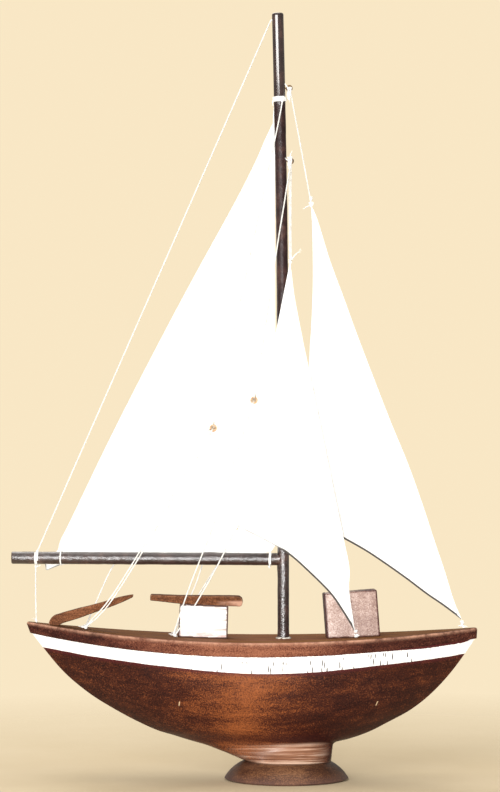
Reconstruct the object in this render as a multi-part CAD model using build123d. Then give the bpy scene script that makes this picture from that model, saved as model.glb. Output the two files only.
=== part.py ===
from build123d import *
import math
import os

# A decorative wooden sailboat on a turned foot, in millimetres.
# The origin is the centre of the foot's underside. +X runs towards the bow, +Z is up,
# and the near side of the boat is -Y.

# ---------------------------------------------------------------- driving dimensions
TOTAL_HEIGHT = 610.2

# turned foot
FOOT_RIM_R = 49.3
FOOT_RIM_Z = 1.3
FOOT_BASE_R = 47.6
FOOT_SHOULDER_R = 34.5
FOOT_HEIGHT = 14.6
FOOT_BULGE = (43.9, 8.1)            # radius and height of a point on the quarter round

# two wood screws that hold the foot to the hull, driven from below
SCREW_XS = (-14.0, 16.0)
SCREW_R = 2.0
SCREW_HEAD_R = 4.1
SCREW_HEAD_DEPTH = 2.4
SCREW_RECESS = 1.0
SCREW_LENGTH = 38.0
SCREW_CLEARANCE = 0.06

# deck board and sheer line
STERN_X = -207.1
BOW_X = 153.3
HALF_BEAM = 48.2                    # at the board's upper edge, before the sheer cuts it
SHEER_LOW_X = -20.0
SHEER_LOW_Z = 111.8
STERN_RISE = 13.8
BOW_RISE = 9.0
BOARD_MID = 11.5                    # board thickness amidships and at its two ends
BOARD_STERN = 8.8
BOARD_BOW = 8.3
BOARD_UNDERCUT = 2.4                # how much smaller the board's outline is underneath
TIP_R = 4.0                         # rounding of the board's two points
TIP_CUT = 4.3                       # how far that rounding shortens each point

# carved hull: height, stern end, bow end, half beam of each level
HULL_LEVELS = [
    (136.0, -214.0, 165.0, 46.6),
    (119.0, -204.9, 155.4, 45.4),
    (104.9, -193.9, 145.8, 44.4),
    (85.0, -177.0, 131.3, 42.6),
    (67.7, -156.3, 115.2, 39.2),
    (55.1, -136.0, 99.2, 35.2),
    (44.4, -115.6, 79.6, 29.8),
    (38.1, -101.1, 67.0, 25.6),
    (31.5, -79.0, 48.0, 19.6),
    (26.0, -60.0, 30.0, 13.0),
]
# stub under the hull: height, aft end, forward end, half width
STUB_LEVELS = [
    (FOOT_HEIGHT, -32.0, 35.7, 26.5),
    (20.5, -44.0, 36.4, 20.5),
    (27.0, -60.5, 37.1, 19.0),
    (34.0, -79.0, 37.6, 20.5),
]

# mast: straight up to the bend, then one long arc leaning aft
MAST_R = 4.6
MAST_X = -2.35
MAST_TENON_Z = 78.0
MAST_BEND_Z = 250.0
MAST_LEAN = 4.5
MAST_HOLE_GAP = 0.05
MAST_TOP_ROUND = 1.0
MAST_CAP = 2.5                      # length of the straight rounded end at the top

# boom
BOOM_R = 4.9
BOOM_END = (-218.9, 176.2)
BOOM_MAST_Z = 174.9
BOOM_HORN_X = -4.9
BOOM_GAP = 0.06                     # running gap between the saddle and the mast

# blocks, plank and tiller, as side outlines and widths
CABIN_HALF = 9.0
PLANK_HALF = 8.6
BOW_BLOCK = (42.3, 21.0, 35.6)      # length, width, height above the deck
BOW_BLOCK_AT = (52.9, 0.0, 114.0)
BOW_BLOCK_PITCH = -4.2
BOW_BLOCK_TURN = 3.0
BLOCK_EDGE_R = 0.7
TILLER_HALF_FOOT = 4.6
TILLER_HALF_TIP = 2.2

# cloth
CLOTH = 1.0                         # closed thickness of a sail solid
MAINSAIL_Y = 6.75                   # the mainsail hangs on the far side of mast and boom

# string
STRING = 1.1
KNOT_R = 1.7
KNOT_LIFT = 0.25
STRING_GAP = 0.08
EYE_WIRE_R = 0.6
EYE_RING_R = 2.1
EYE_SHANK = 6.0
EYE_HEIGHTS = (550.2, 492.2)        # screw eyes on the forward side of the mast
EYELET_BORE_R = 1.5
EYELET_BARREL_R = 2.0
EYELET_FLANGE_R = 3.0
EYELET_FLANGE_T = 0.45

# places where strings meet the sails and the deck
EYELET_FORE = (-25.7, 301.7)
EYELET_AFT = (-58.3, 279.4)
STAYSAIL_CLEW = (-39.2, 202.1)
DECK_FORE_X = -89.0
DECK_FORE_Y = 13.0
DECK_AFT_X = -160.0
DECK_AFT_Y = 8.0
LEASH_X = -199.2
CLEW_STITCH = (-179.5, 177.6)       # the clew lashing goes through the sail here
STAYSAIL_TACK = (55.2, -15.0)

# heights on the mast and places along the boom where string is tied
MASTHEAD_HOLE_Z = 605.5             # hole that the topping lift is pegged into
MASTHEAD_HOLE_R = 0.9
WHIPPING_Z = 541.4
JIB_BAND_Z = 206.0
BOOM_END_LASHING_X = -198.9
TACK_LASHING_X = -13.0

FAR = 400.0                         # larger than the boat, for cutting tools
SMALLEST_SOLID = 0.02               # volume of slivers that a cut may leave, which are dropped


# ---------------------------------------------------------------- shared geometry
def sheer_radius(run, rise):
    """Radius of an arc that starts level and climbs by rise over run."""
    return (run * run + rise * rise) / (2 * rise)


def deck_z(x):
    """Height of the deck's top surface on the two sheer arcs."""
    if x < SHEER_LOW_X:
        radius = sheer_radius(SHEER_LOW_X - STERN_X, STERN_RISE)
    else:
        radius = sheer_radius(BOW_X - SHEER_LOW_X, BOW_RISE)
    return SHEER_LOW_Z + radius - math.sqrt(radius ** 2 - (x - SHEER_LOW_X) ** 2)


def mast_x(z):
    """Centre of the mast at a height."""
    if z <= MAST_BEND_Z:
        return MAST_X
    radius = sheer_radius(TOTAL_HEIGHT - MAST_BEND_Z, MAST_LEAN)
    return MAST_X - radius + math.sqrt(radius ** 2 - (z - MAST_BEND_Z) ** 2)


def boom_z(x):
    """Height of the boom's centre line."""
    share = (x - BOOM_END[0]) / (MAST_X - BOOM_END[0])
    return BOOM_END[1] + share * (BOOM_MAST_Z - BOOM_END[1])


def sheer_region(drop_mid, drop_stern, drop_bow, floor_z):
    """Everything under a sheer line that lies a little under the deck's top."""
    low = (SHEER_LOW_X, SHEER_LOW_Z - drop_mid)
    stern = (STERN_X, SHEER_LOW_Z + STERN_RISE - drop_stern)
    bow = (BOW_X, SHEER_LOW_Z + BOW_RISE - drop_bow)
    arcs = []
    for end in (stern, bow):
        run = end[0] - low[0]
        rise = end[1] - low[1]
        radius = sheer_radius(abs(run), rise)
        half = run / 2
        middle = (low[0] + half, low[1] + radius - math.sqrt(radius ** 2 - half ** 2))
        arcs.append((middle, end))
    with BuildSketch(Plane.XZ) as outline:
        with BuildLine():
            ThreePointArc(stern, arcs[0][0], low)
            ThreePointArc(low, arcs[1][0], bow)
            Polyline(
                bow, (bow[0] + FAR, bow[1]), (bow[0] + FAR, floor_z),
                (stern[0] - FAR, floor_z), (stern[0] - FAR, stern[1]), stern,
            )
        make_face()
    return extrude(outline.sketch, amount=FAR / 2, both=True)


def lens(z, aft_x, fore_x, half_width):
    """Flat double-ended outline at a height."""
    middle_x = (aft_x + fore_x) / 2
    with BuildSketch(Plane.XY.offset(z)) as outline:
        with BuildLine():
            ThreePointArc((aft_x, 0), (middle_x, -half_width), (fore_x, 0))
            ThreePointArc((fore_x, 0), (middle_x, half_width), (aft_x, 0))
        make_face()
    return outline.sketch.face()


def oval(z, aft_x, fore_x, half_width):
    """Flat elliptical outline at a height."""
    middle_x = (aft_x + fore_x) / 2
    with BuildSketch(Plane.XY.offset(z)) as outline:
        with Locations((middle_x, 0)):
            Ellipse((fore_x - aft_x) / 2, half_width)
    return outline.sketch.face()


def side_solid(points, half_width):
    """Straight-sided piece from its outline in the boat's side view."""
    with BuildSketch(Plane.XZ) as outline:
        with BuildLine():
            Polyline(*points, close=True)
        make_face()
    return extrude(outline.sketch, amount=half_width, both=True)


def cord(name, route, diameter=STRING):
    """Round string along straight runs joined by tangent arcs."""
    points = [Vector(*point) for point in route]
    radii = []
    for before, corner, after in zip(points, points[1:], points[2:]):
        turn = math.radians((corner - before).get_angle(after - corner))
        shorter = min((corner - before).length, (after - corner).length)
        radii.append(0.45 * shorter / math.tan(turn / 2))
    if radii:
        path = FilletPolyline(*points, radius=radii)
    else:
        path = Line(*points)
    start = Plane(origin=path @ 0, z_dir=path % 0)
    tube = sweep(start * Circle(diameter / 2), path=path)
    expected = math.pi * (diameter / 2) ** 2 * path.length
    print(name, "length", round(path.length, 1), "volume ratio", round(tube.volume / expected, 4),
          "radii", [round(radius, 1) for radius in radii])
    return tube


def ring_about(centre, direction, inner, outer, width):
    """Short sleeve, such as a few turns of string round a spar."""
    plane = Plane(origin=centre, z_dir=direction)
    sleeve = Cylinder(outer, width) - Cylinder(inner, width * 2)
    sleeve = fillet(sleeve.edges().filter_by(GeomType.CIRCLE).sort_by(SortBy.RADIUS)[-2:], 0.3)
    return plane * sleeve


# ---------------------------------------------------------------- foot, hull and deck
def build_foot():
    with BuildSketch(Plane.XZ) as profile:
        with BuildLine():
            Polyline((0, FOOT_HEIGHT), (0, 0), (FOOT_BASE_R, 0), (FOOT_RIM_R, FOOT_RIM_Z))
            ThreePointArc((FOOT_RIM_R, FOOT_RIM_Z), FOOT_BULGE, (FOOT_SHOULDER_R, FOOT_HEIGHT - 0.2))
            Polyline((FOOT_SHOULDER_R, FOOT_HEIGHT - 0.2), (FOOT_SHOULDER_R - 1, FOOT_HEIGHT),
                     (0, FOOT_HEIGHT))
        make_face()
    return revolve(profile.sketch, Axis.Z)


def build_screw(extra=0.0):
    """Countersunk wood screw, or with extra the hole that it sits in."""
    base = SCREW_RECESS if extra == 0 else -1.0
    neck_z = SCREW_RECESS + SCREW_HEAD_DEPTH
    tip_z = SCREW_RECESS + SCREW_LENGTH
    head = SCREW_HEAD_R + extra
    shank = SCREW_R + extra
    with BuildSketch(Plane.XZ) as profile:
        with BuildLine():
            Polyline((0, base), (head, base), (head, SCREW_RECESS + 0.4), (shank, neck_z),
                     (shank, tip_z - 5), (0.25 + extra, tip_z + extra), (0, tip_z + extra), close=True)
        make_face()
    screw = revolve(profile.sketch, Axis.Z)
    if extra == 0:
        slot = Pos(0, 0, SCREW_RECESS) * Box(2 * SCREW_HEAD_R + 1, 1.1, 1.6)
        screw = screw - slot
    return screw


def build_hull():
    bowl = loft([lens(*level) for level in reversed(HULL_LEVELS)])
    stub = loft([oval(*level) for level in STUB_LEVELS])
    hull = bowl & sheer_region(BOARD_MID, BOARD_STERN, BOARD_BOW, -10)
    return hull + stub


def build_deck_board():
    low_z = SHEER_LOW_Z - BOARD_MID - 6
    high_z = SHEER_LOW_Z + STERN_RISE + 2
    board = loft([
        lens(low_z, STERN_X - TIP_CUT + 2 * BOARD_UNDERCUT, BOW_X + TIP_CUT - 2 * BOARD_UNDERCUT,
             HALF_BEAM - BOARD_UNDERCUT),
        lens(high_z, STERN_X - TIP_CUT, BOW_X + TIP_CUT, HALF_BEAM),
    ], ruled=True)
    tips = board.edges().filter_by(lambda edge: abs(edge.center().Y) < 0.1 and edge.length < 60)
    board = fillet(tips, TIP_R)
    board = board & sheer_region(0, 0, 0, 0)
    board = board - sheer_region(BOARD_MID, BOARD_STERN, BOARD_BOW, 0)
    return board


# ---------------------------------------------------------------- spars
def build_mast():
    """Dowel swept up to just under its top, with a rounded cap on the end."""
    arc_end_z = TOTAL_HEIGHT - MAST_CAP
    middle_z = (MAST_BEND_Z + arc_end_z) / 2
    with BuildLine(Plane.XZ) as path:
        Line((MAST_X, MAST_TENON_Z), (MAST_X, MAST_BEND_Z))
        ThreePointArc((MAST_X, MAST_BEND_Z), (mast_x(middle_z), middle_z), (mast_x(arc_end_z), arc_end_z))
    section = Plane.XY.offset(MAST_TENON_Z) * Pos(MAST_X, 0) * Rot(0, 0, 90) * Circle(MAST_R)
    dowel = sweep(section, path=path.line)
    cap = Cylinder(MAST_R, MAST_CAP, align=(Align.CENTER, Align.CENTER, Align.MIN))
    cap = fillet(cap.edges().sort_by(Axis.Z)[-1], MAST_TOP_ROUND)
    return dowel + Plane(origin=path.line @ 1, z_dir=path.line % 1) * cap


def boom_plane(x):
    """Plane across the boom at x, looking along it towards the mast."""
    direction = Vector(MAST_X - BOOM_END[0], 0, BOOM_MAST_Z - BOOM_END[1])
    return Plane(origin=(x, 0, boom_z(x)), z_dir=direction.normalized())


def build_boom():
    start = boom_plane(BOOM_END[0])
    boom = extrude(start * Circle(BOOM_R), amount=BOOM_HORN_X - BOOM_END[0])
    end_rim = boom.edges().filter_by(GeomType.CIRCLE).sort_by(Axis.X)[0]
    boom = fillet(end_rim, 0.6)
    saddle = Pos(MAST_X, 0, BOOM_MAST_Z) * Cylinder(MAST_R + BOOM_GAP, 40)
    return boom - saddle


# ---------------------------------------------------------------- deck furniture
def build_cabin():
    block = side_solid([(-86.7, 100), (-47.2, 100), (-46.1, 138.1), (-84.7, 139.9)], CABIN_HALF)
    uprights = block.edges().filter_by(lambda edge: edge.length > 30 and abs(edge.tangent_at(0.5).Z) > 0.9)
    return fillet(uprights, BLOCK_EDGE_R) - sheer_region(0, 0, 0, 0)


def build_plank(cabin):
    plank = side_solid([
        (-108.2, 147.0), (-84.0, 146.1), (-46.0, 145.9), (-37.5, 145.7), (-35.2, 144.0), (-34.6, 141.2),
        (-35.4, 138.4), (-37.0, 137.6), (-46.1, 138.1), (-84.7, 139.9), (-108.2, 142.6),
    ], PLANK_HALF)
    return plank - cabin


def build_bow_block():
    length, width, height = BOW_BLOCK
    block = Box(length, width, height + 12, align=(Align.CENTER, Align.CENTER, Align.MIN))
    block = fillet(block.edges(), BLOCK_EDGE_R)
    place = Pos(*BOW_BLOCK_AT) * Rot(0, BOW_BLOCK_PITCH, BOW_BLOCK_TURN) * Pos(0, 0, -12)
    return place * block - sheer_region(0, 0, 0, 0)


def build_tiller():
    with BuildSketch(Plane.XZ) as profile:
        with BuildLine():
            Spline((-184.6, 115.0), (-180.8, 122.4), (-170.6, 126.4), (-156.4, 131.3), (-146.7, 134.7),
                   (-132.5, 140.0), (-122.2, 144.8))
            Line((-122.2, 144.8), (-121.8, 146.9))
            Spline((-121.8, 146.9), (-132.5, 145.0), (-148.4, 140.3), (-168.4, 135.2), (-181.6, 131.3))
            Spline((-181.6, 131.3), (-187.4, 128.0), (-189.3, 123.0), (-189.0, 115.0))
            Line((-189.0, 115.0), (-184.6, 115.0))
        make_face()
    blade = extrude(profile.sketch, amount=TILLER_HALF_FOOT, both=True)
    taper = Plane.XY.offset(100) * make_face(Polyline(
        (-195, -TILLER_HALF_FOOT), (-165, -TILLER_HALF_FOOT), (-120, -TILLER_HALF_TIP),
        (-120, TILLER_HALF_TIP), (-165, TILLER_HALF_FOOT), (-195, TILLER_HALF_FOOT), close=True))
    return (blade & extrude(taper, amount=60)) - sheer_region(0, 0, 0, 0)


# ---------------------------------------------------------------- sails
def build_mainsail():
    """Flat triangle on the far side of the mast and boom, with a full foot and a clew tab."""
    luff_low = (-8.2, 186.0)
    head = (-9.1, 523.4)
    with BuildSketch(Plane.XZ) as outline:
        with BuildLine():
            Line(luff_low, head)
            Line(head, (-10.2, 523.6))
            Spline((-10.2, 523.6), (-17.3, 508.8), (-24.1, 493.0), (-40.2, 461.1), (-75.2, 397.4), (-109.0, 333.6),
                   (-141.3, 269.9), (-172.0, 206.1), (-180.0, 190.2), (-182.2, 182.2))
            Polyline((-182.2, 182.2), (-192.8, 172.0), (-191.9, 165.4), (-179.6, 170.3))
            Spline((-179.6, 170.3), (-158.8, 171.2), (-100.0, 172.6), (-40.0, 175.4), (-12.4, 180.4))
            Line((-12.4, 180.4), luff_low)
        make_face()
    sheet = extrude(outline.sketch, amount=CLOTH / 2, both=True)
    return Pos(0, MAINSAIL_Y, 0) * sheet


def plane_sail(head, tack, clew, luff_points, foot_points, leech_points=()):
    """Triangular sail in the plane of its three corners, with edges that curve through points.

    Each corner is x, y, z. The edges' points are x and z: their y is worked out on the plane.
    """
    corners = [Vector(*corner) for corner in (head, tack, clew)]
    normal = (corners[1] - corners[0]).cross(corners[2] - corners[0]).normalized()

    def on_plane(x, z):
        y = corners[0].Y - (normal.X * (x - corners[0].X) + normal.Z * (z - corners[0].Z)) / normal.Y
        return Vector(x, y, z)

    leech = Line(corners[2], corners[0])
    if leech_points:
        leech = Spline(corners[2], *[on_plane(*point) for point in leech_points], corners[0])
    edges = [
        Spline(corners[0], *[on_plane(*point) for point in luff_points], corners[1]),
        Spline(corners[1], *[on_plane(*point) for point in foot_points], corners[2]),
        leech,
    ]
    face = make_face(edges)
    return extrude(face, amount=CLOTH / 2, dir=normal, both=True)


def build_staysail():
    return plane_sail(
        head=(3.0, -5.8, 411.7), tack=(STAYSAIL_TACK[0] - 0.6, STAYSAIL_TACK[1], 117.4),
        clew=(-39.2, -8.6, 202.1),
        luff_points=[
            (6.2, 386.0), (9.9, 365.5), (16.3, 333.6), (35.4, 240.0), (45.7, 190.2), (49.9, 168.0), (49.7, 150.0),
        ],
        foot_points=[(44.5, 134.0), (34.5, 148.3), (18.1, 164.8), (3.4, 178.0), (-10.3, 187.2)],
    )


def build_jib():
    return plane_sail(
        head=(19.8, 0.3, 457.2), tack=(140.0, 0.0, 126.6), clew=(13.4, 3.4, 207.7),
        luff_points=[
            (24.9, 445.2), (34.8, 413.3), (46.6, 381.4), (58.2, 349.6), (82.8, 285.8), (96.0, 253.9), (107.6, 222.0),
            (118.0, 190.2), (126.0, 166.3), (133.4, 142.3),
        ],
        leech_points=[(16.2, 280.0), (18.4, 335.0), (20.1, 362.0), (21.3, 397.0), (20.9, 435.0)],
        foot_points=[
            (125.0, 137.8), (111.4, 147.1), (94.4, 159.9), (73.1, 174.8), (58.8, 183.8), (36.0, 196.2),
        ],
    )


# ---------------------------------------------------------------- metal fittings
def screw_eye(z):
    """Closed wire ring on a shank that is screwed into the forward side of the mast."""
    surface_x = mast_x(z) + MAST_R
    centre_x = surface_x + EYE_RING_R + EYE_WIRE_R + 0.5
    ring = Pos(centre_x, 0, z) * Rot(90, 0, 0) * Torus(EYE_RING_R, EYE_WIRE_R)
    shank_end = surface_x - EYE_SHANK
    shank_length = centre_x - EYE_RING_R - shank_end
    shank = Pos(shank_end + shank_length / 2, 0, z) * Rot(0, 90, 0) * Cylinder(EYE_WIRE_R, shank_length)
    return ring + shank


def eye_hole(z):
    """Pilot hole of a screw eye in the mast."""
    surface_x = mast_x(z) + MAST_R
    length = EYE_SHANK + 3
    return Pos(surface_x + 2.8 - length / 2, 0, z) * Rot(0, 90, 0) * Cylinder(EYE_WIRE_R + 0.03, length)


def sail_eyelet(x, z):
    """Two flanges on a short barrel, through the mainsail."""
    barrel = Cylinder(EYELET_BARREL_R, CLOTH + 0.02)
    flange_z = CLOTH / 2 + 0.01 + EYELET_FLANGE_T / 2
    for side in (-1, 1):
        barrel = barrel + Pos(0, 0, side * flange_z) * Cylinder(EYELET_FLANGE_R, EYELET_FLANGE_T)
    eyelet = barrel - Cylinder(EYELET_BORE_R, 6)
    return Pos(x, MAINSAIL_Y, z) * Rot(90, 0, 0) * eyelet


# ---------------------------------------------------------------- knots and lashings
def deck_knot(x, y, radius=KNOT_R):
    """Knot with its underside cut flat, just clear of the deck."""
    floor_z = deck_z(x) + KNOT_LIFT
    knot = Pos(x, y, floor_z + radius * 0.6) * Sphere(radius)
    return knot - Pos(x, y, floor_z) * Box(9, 9, 9, align=(Align.CENTER, Align.CENTER, Align.MAX))


def boom_lashing(x, width, outer_gap):
    plane = boom_plane(x)
    return ring_about(plane.origin, plane.z_dir, BOOM_R + STRING_GAP, BOOM_R + outer_gap, width)


# Routes of the strings. Each starts at its upper end.
NEAR_FACE_Y = MAINSAIL_Y - CLOTH / 2 - EYELET_FLANGE_T - KNOT_R - 0.1
FAR_FACE_Y = MAINSAIL_Y + CLOTH / 2 + EYELET_FLANGE_T + 1.6
BOOM_SIDE_Y = BOOM_R + STRING / 2 + 0.35
ROUTES = {
    "topping_lift": [
        (-8.4, 0, MASTHEAD_HOLE_Z), (-12.0, 0, 605.3), (-13.6, 0, 601.4), (-106.0, 0, 391.0),
        (-198.4, 0, 181.2),
    ],
    "stern_leash": [(-199.6, 0, 168.6), (-199.9, -0.3, 147.0), (LEASH_X, 0, 126.4)],
    "upper_line_aft": [
        (-3.2, -5.8, 539.2), (-6.2, -5.5, 522.0), (-10.6, -3.7, 503.0), (-34.0, 0.4, 393.0),
        (EYELET_AFT[0], NEAR_FACE_Y, EYELET_AFT[1]),
    ],
    "upper_line_fore": [
        (3.2, -1.4, 489.0), (0.8, -5.0, 474.0), (-2.8, -5.9, 451.0), (-7.2, -5.2, 425.0),
        (-16.0, -1.4, 364.0), (EYELET_FORE[0], NEAR_FACE_Y, EYELET_FORE[1]),
    ],
    "aft_leg_near": [
        (EYELET_AFT[0], NEAR_FACE_Y, EYELET_AFT[1]), (-87.6, -2.4, 230.0), (-114.7, -BOOM_SIDE_Y, 182.0),
        (-139.3, -7.3, 142.6), (-151.8, -8.0, 128.4), (DECK_AFT_X, -DECK_AFT_Y, 121.4),
    ],
    "aft_leg_far": [
        (EYELET_AFT[0], NEAR_FACE_Y, EYELET_AFT[1]), (EYELET_AFT[0], FAR_FACE_Y, EYELET_AFT[1]),
        (-64.0, FAR_FACE_Y, 271.4),
        (-105.0, 8.2, 221.0), (-138.4, 8.4, 171.0), (-150.5, 8.4, 143.6), (DECK_AFT_X, DECK_AFT_Y, 121.4),
    ],
    "fore_leg_near": [
        (EYELET_FORE[0], NEAR_FACE_Y, EYELET_FORE[1]), (-42.0, -1.7, 251.5), (-57.5, -5.0, 203.0),
        (-69.7, -7.0, 172.0), (-80.6, -10.6, 144.0), (DECK_FORE_X - 0.8, -DECK_FORE_Y, 115.4),
    ],
    "fore_leg_far": [
        (EYELET_FORE[0], NEAR_FACE_Y, EYELET_FORE[1]), (EYELET_FORE[0], FAR_FACE_Y, EYELET_FORE[1]),
        (-28.8, FAR_FACE_Y, 291.6), (-52.0, 8.4, 218.0), (-66.6, 8.8, 171.0), (-74.6, 11.0, 147.4),
        (DECK_FORE_X - 0.8, DECK_FORE_Y, 115.4),
    ],
    "staysail_sheet_near": [
        (-39.6, -8.6, 201.0), (-53.6, -8.4, 171.5), (-70.6, -10.6, 142.0), (-79.9, -12.2, 127.4),
        (DECK_FORE_X + 0.8, -DECK_FORE_Y, 115.4),
    ],
    "staysail_sheet_far": [
        (STAYSAIL_CLEW[0], -6.6, 200.4), (-39.6, 1.0, 199.8), (-40.2, FAR_FACE_Y + 1.6, 198.4),
        (-44.6, FAR_FACE_Y + 1.6, 188.0), (-54.6, 9.4, 170.4), (-68.6, 11.0, 148.4),
        (DECK_FORE_X + 0.8, DECK_FORE_Y, 115.4),
    ],
    "jib_halyard": [(4.9, 0, 547.0), (12.0, 0.1, 501.0), (19.7, 0.3, 459.4)],
}
HALYARD_STRANDS = [
    [(5.0, 0.6, 488.6), (4.4, -2.6, 452.0), (3.7, -5.6, 414.0)],
    [(4.6, -0.9, 488.8), (3.0, -3.8, 450.0), (2.5, -6.0, 414.2)],
]


# ---------------------------------------------------------------- assembly
foot_screws = [Pos(x, 0, 0) * build_screw() for x in SCREW_XS]
screw_holes = [Pos(x, 0, 0) * build_screw(extra=SCREW_CLEARANCE) for x in SCREW_XS]
foot = build_foot()
hull = build_hull()
for hole in screw_holes:
    foot = foot - hole
    hull = hull - hole
deck_board = build_deck_board()
mast_hole = Pos(MAST_X, 0, MAST_TENON_Z - 0.1) * Cylinder(
    MAST_R + MAST_HOLE_GAP, 60, align=(Align.CENTER, Align.CENTER, Align.MIN))
hull = hull - mast_hole
deck_board = deck_board - mast_hole
mast = build_mast()
mast_screw_eyes = [screw_eye(z) for z in EYE_HEIGHTS]
for height in EYE_HEIGHTS:
    mast = mast - eye_hole(height)
masthead_hole = Pos(mast_x(MASTHEAD_HOLE_Z) - MAST_R, 0, MASTHEAD_HOLE_Z) * Rot(0, 90, 0) * Cylinder(
    MASTHEAD_HOLE_R, 8)
mast = mast - masthead_hole
boom = build_boom()

cabin_block = build_cabin()
roof_plank = build_plank(cabin_block)
bow_block = build_bow_block()
tiller_stick = build_tiller()
mast_foot = Pos(MAST_X, 0, deck_z(MAST_X))
glue_ring = mast_foot * Cone(7.4, 5.2, 1.8, align=(Align.CENTER, Align.CENTER, Align.MIN))
glue_ring = glue_ring - mast_foot * Cylinder(MAST_R + 0.02, 20)
mast_glue = glue_ring - sheer_region(0, 0, 0, 0)

# small string work
mast_whipping = ring_about(
    (mast_x(WHIPPING_Z), 0, WHIPPING_Z), Vector(-0.019, 0, 1), MAST_R + 0.12, MAST_R + 0.12 + STRING, 3.4)
boom_end_lashing = boom_lashing(BOOM_END_LASHING_X, 2.5, STRING_GAP + STRING)
knot_x = BOOM_END_LASHING_X - 0.7
boom_end_knot = Pos(knot_x, 0, boom_z(knot_x) - BOOM_R - 1.5) * Sphere(1.5)
boom_end_lashing = boom_end_lashing + (boom_end_knot - boom_plane(knot_x) * Cylinder(BOOM_R + STRING_GAP, 12))
clew_stitch = Pos(CLEW_STITCH[0], MAINSAIL_Y, CLEW_STITCH[1]) * Rot(90, 0, 0) * Cylinder(STRING / 2, 3.6)
clew_stitch = clew_stitch + Pos(CLEW_STITCH[0], MAINSAIL_Y + CLOTH / 2 + 1.2, CLEW_STITCH[1]) * Sphere(1.1)
clew_lashing = boom_lashing(CLEW_STITCH[0], STRING, STRING_GAP + STRING) + clew_stitch
tack_lashing = boom_lashing(TACK_LASHING_X, 1.4, STRING_GAP + STRING)
eyelets = [sail_eyelet(*EYELET_AFT), sail_eyelet(*EYELET_FORE)]
line_knots = [
    Pos(x, NEAR_FACE_Y, z) * Sphere(KNOT_R) for x, z in (EYELET_AFT, EYELET_FORE)
]
deck_knots = [
    deck_knot(x, side * y)
    for x, y in ((DECK_FORE_X, DECK_FORE_Y), (DECK_AFT_X, DECK_AFT_Y))
    for side in (-1, 1)
]
leash_knot = deck_knot(LEASH_X, 0)

mainsail = build_mainsail()
for cutter in (*eyelets, clew_lashing):
    mainsail = mainsail - cutter
for x, z, radius in ((*EYELET_AFT, EYELET_BARREL_R), (*EYELET_FORE, EYELET_BARREL_R), (-39.7, 199.6, 1.6)):
    mainsail = mainsail - Pos(x, MAINSAIL_Y, z) * Rot(90, 0, 0) * Cylinder(radius, 10)
head_tie_route = [(-10.2, MAINSAIL_Y, 519.8), (-10.2, 5.9, 529.6), (-9.2, 4.2, 539.0)]
mainsail_head_tie = cord("mainsail_head_tie", head_tie_route) - mast_whipping
mainsail = mainsail - mainsail_head_tie

staysail = build_staysail()
jib = build_jib()
clew_knot = Pos(STAYSAIL_CLEW[0] - 0.6, -8.6, STAYSAIL_CLEW[1] - 0.4) * Sphere(KNOT_R)
staysail_head_knot = Pos(3.1, -5.8, 412.6) * Sphere(KNOT_R + 0.3)
jib_head_knot = Pos(19.8, 0.3, 457.8) * Sphere(KNOT_R + 0.3)
staysail_tack_tie = deck_knot(*STAYSAIL_TACK)
jib_tack_tie = deck_knot(140.8, 0, KNOT_R + 0.3)
jib_clew_tie = cord("jib_clew_tie", [(13.8, 3.5, 207.6), (8.6, 3.0, 207.0), (4.0, 1.9, 206.2)])
jib_clew_band = ring_about(
    (MAST_X, 0, JIB_BAND_Z), Vector(0, 0, 1), MAST_R + STRING_GAP, MAST_R + STRING_GAP + STRING, 2.3)
jib_clew_tie = jib_clew_tie - jib_clew_band + jib_clew_band

strings = {name: cord(name, route) for name, route in ROUTES.items()}
halyard = [cord("staysail_halyard", route) for route in HALYARD_STRANDS]

# every sail and string is cut back to the knots and fittings that it ends in
staysail = staysail - clew_knot - staysail_head_knot - staysail_tack_tie
jib = jib - jib_head_knot - jib_tack_tie - jib_clew_tie
ends = {
    "topping_lift": [boom_end_lashing],
    "stern_leash": [boom_end_lashing, leash_knot],
    "upper_line_aft": [mast_whipping, line_knots[0]],
    "upper_line_fore": [mast_screw_eyes[1], line_knots[1]],
    "aft_leg_near": [line_knots[0], deck_knots[2]],
    "aft_leg_far": [line_knots[0], deck_knots[3]],
    "fore_leg_near": [line_knots[1], deck_knots[0]],
    "fore_leg_far": [line_knots[1], deck_knots[1]],
    "staysail_sheet_near": [clew_knot, deck_knots[0]],
    "staysail_sheet_far": [clew_knot, deck_knots[1]],
    "jib_halyard": [mast_screw_eyes[0], jib_head_knot],
}
for name, cutters in ends.items():
    for cutter in cutters:
        strings[name] = strings[name] - cutter
halyard = [strand - staysail_head_knot - mast_screw_eyes[1] - staysail for strand in halyard]

nodes = {
    "foot": foot,
    "foot_screws": foot_screws,
    "hull": hull,
    "deck_board": deck_board,
    "mast": mast,
    "mast_glue": mast_glue,
    "mast_screw_eyes": mast_screw_eyes,
    "mast_whipping": mast_whipping,
    "boom": boom,
    "cabin_block": cabin_block,
    "roof_plank": roof_plank,
    "bow_block": bow_block,
    "tiller_stick": tiller_stick,
    "mainsail": mainsail,
    "staysail": staysail,
    "jib": jib,
    "sail_eyelets": eyelets,
    "line_knots": line_knots,
    "deck_knots": deck_knots,
    "stern_leash_knot": leash_knot,
    "boom_end_lashing": boom_end_lashing,
    "clew_lashing": clew_lashing,
    "tack_lashing": tack_lashing,
    "mainsail_head_tie": mainsail_head_tie,
    "staysail_clew_knot": clew_knot,
    "staysail_head_knot": staysail_head_knot,
    "jib_head_knot": jib_head_knot,
    "staysail_tack_tie": staysail_tack_tie,
    "jib_tack_tie": jib_tack_tie,
    "jib_clew_tie": jib_clew_tie,
    "staysail_halyard": halyard,
    **strings,
}

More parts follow.
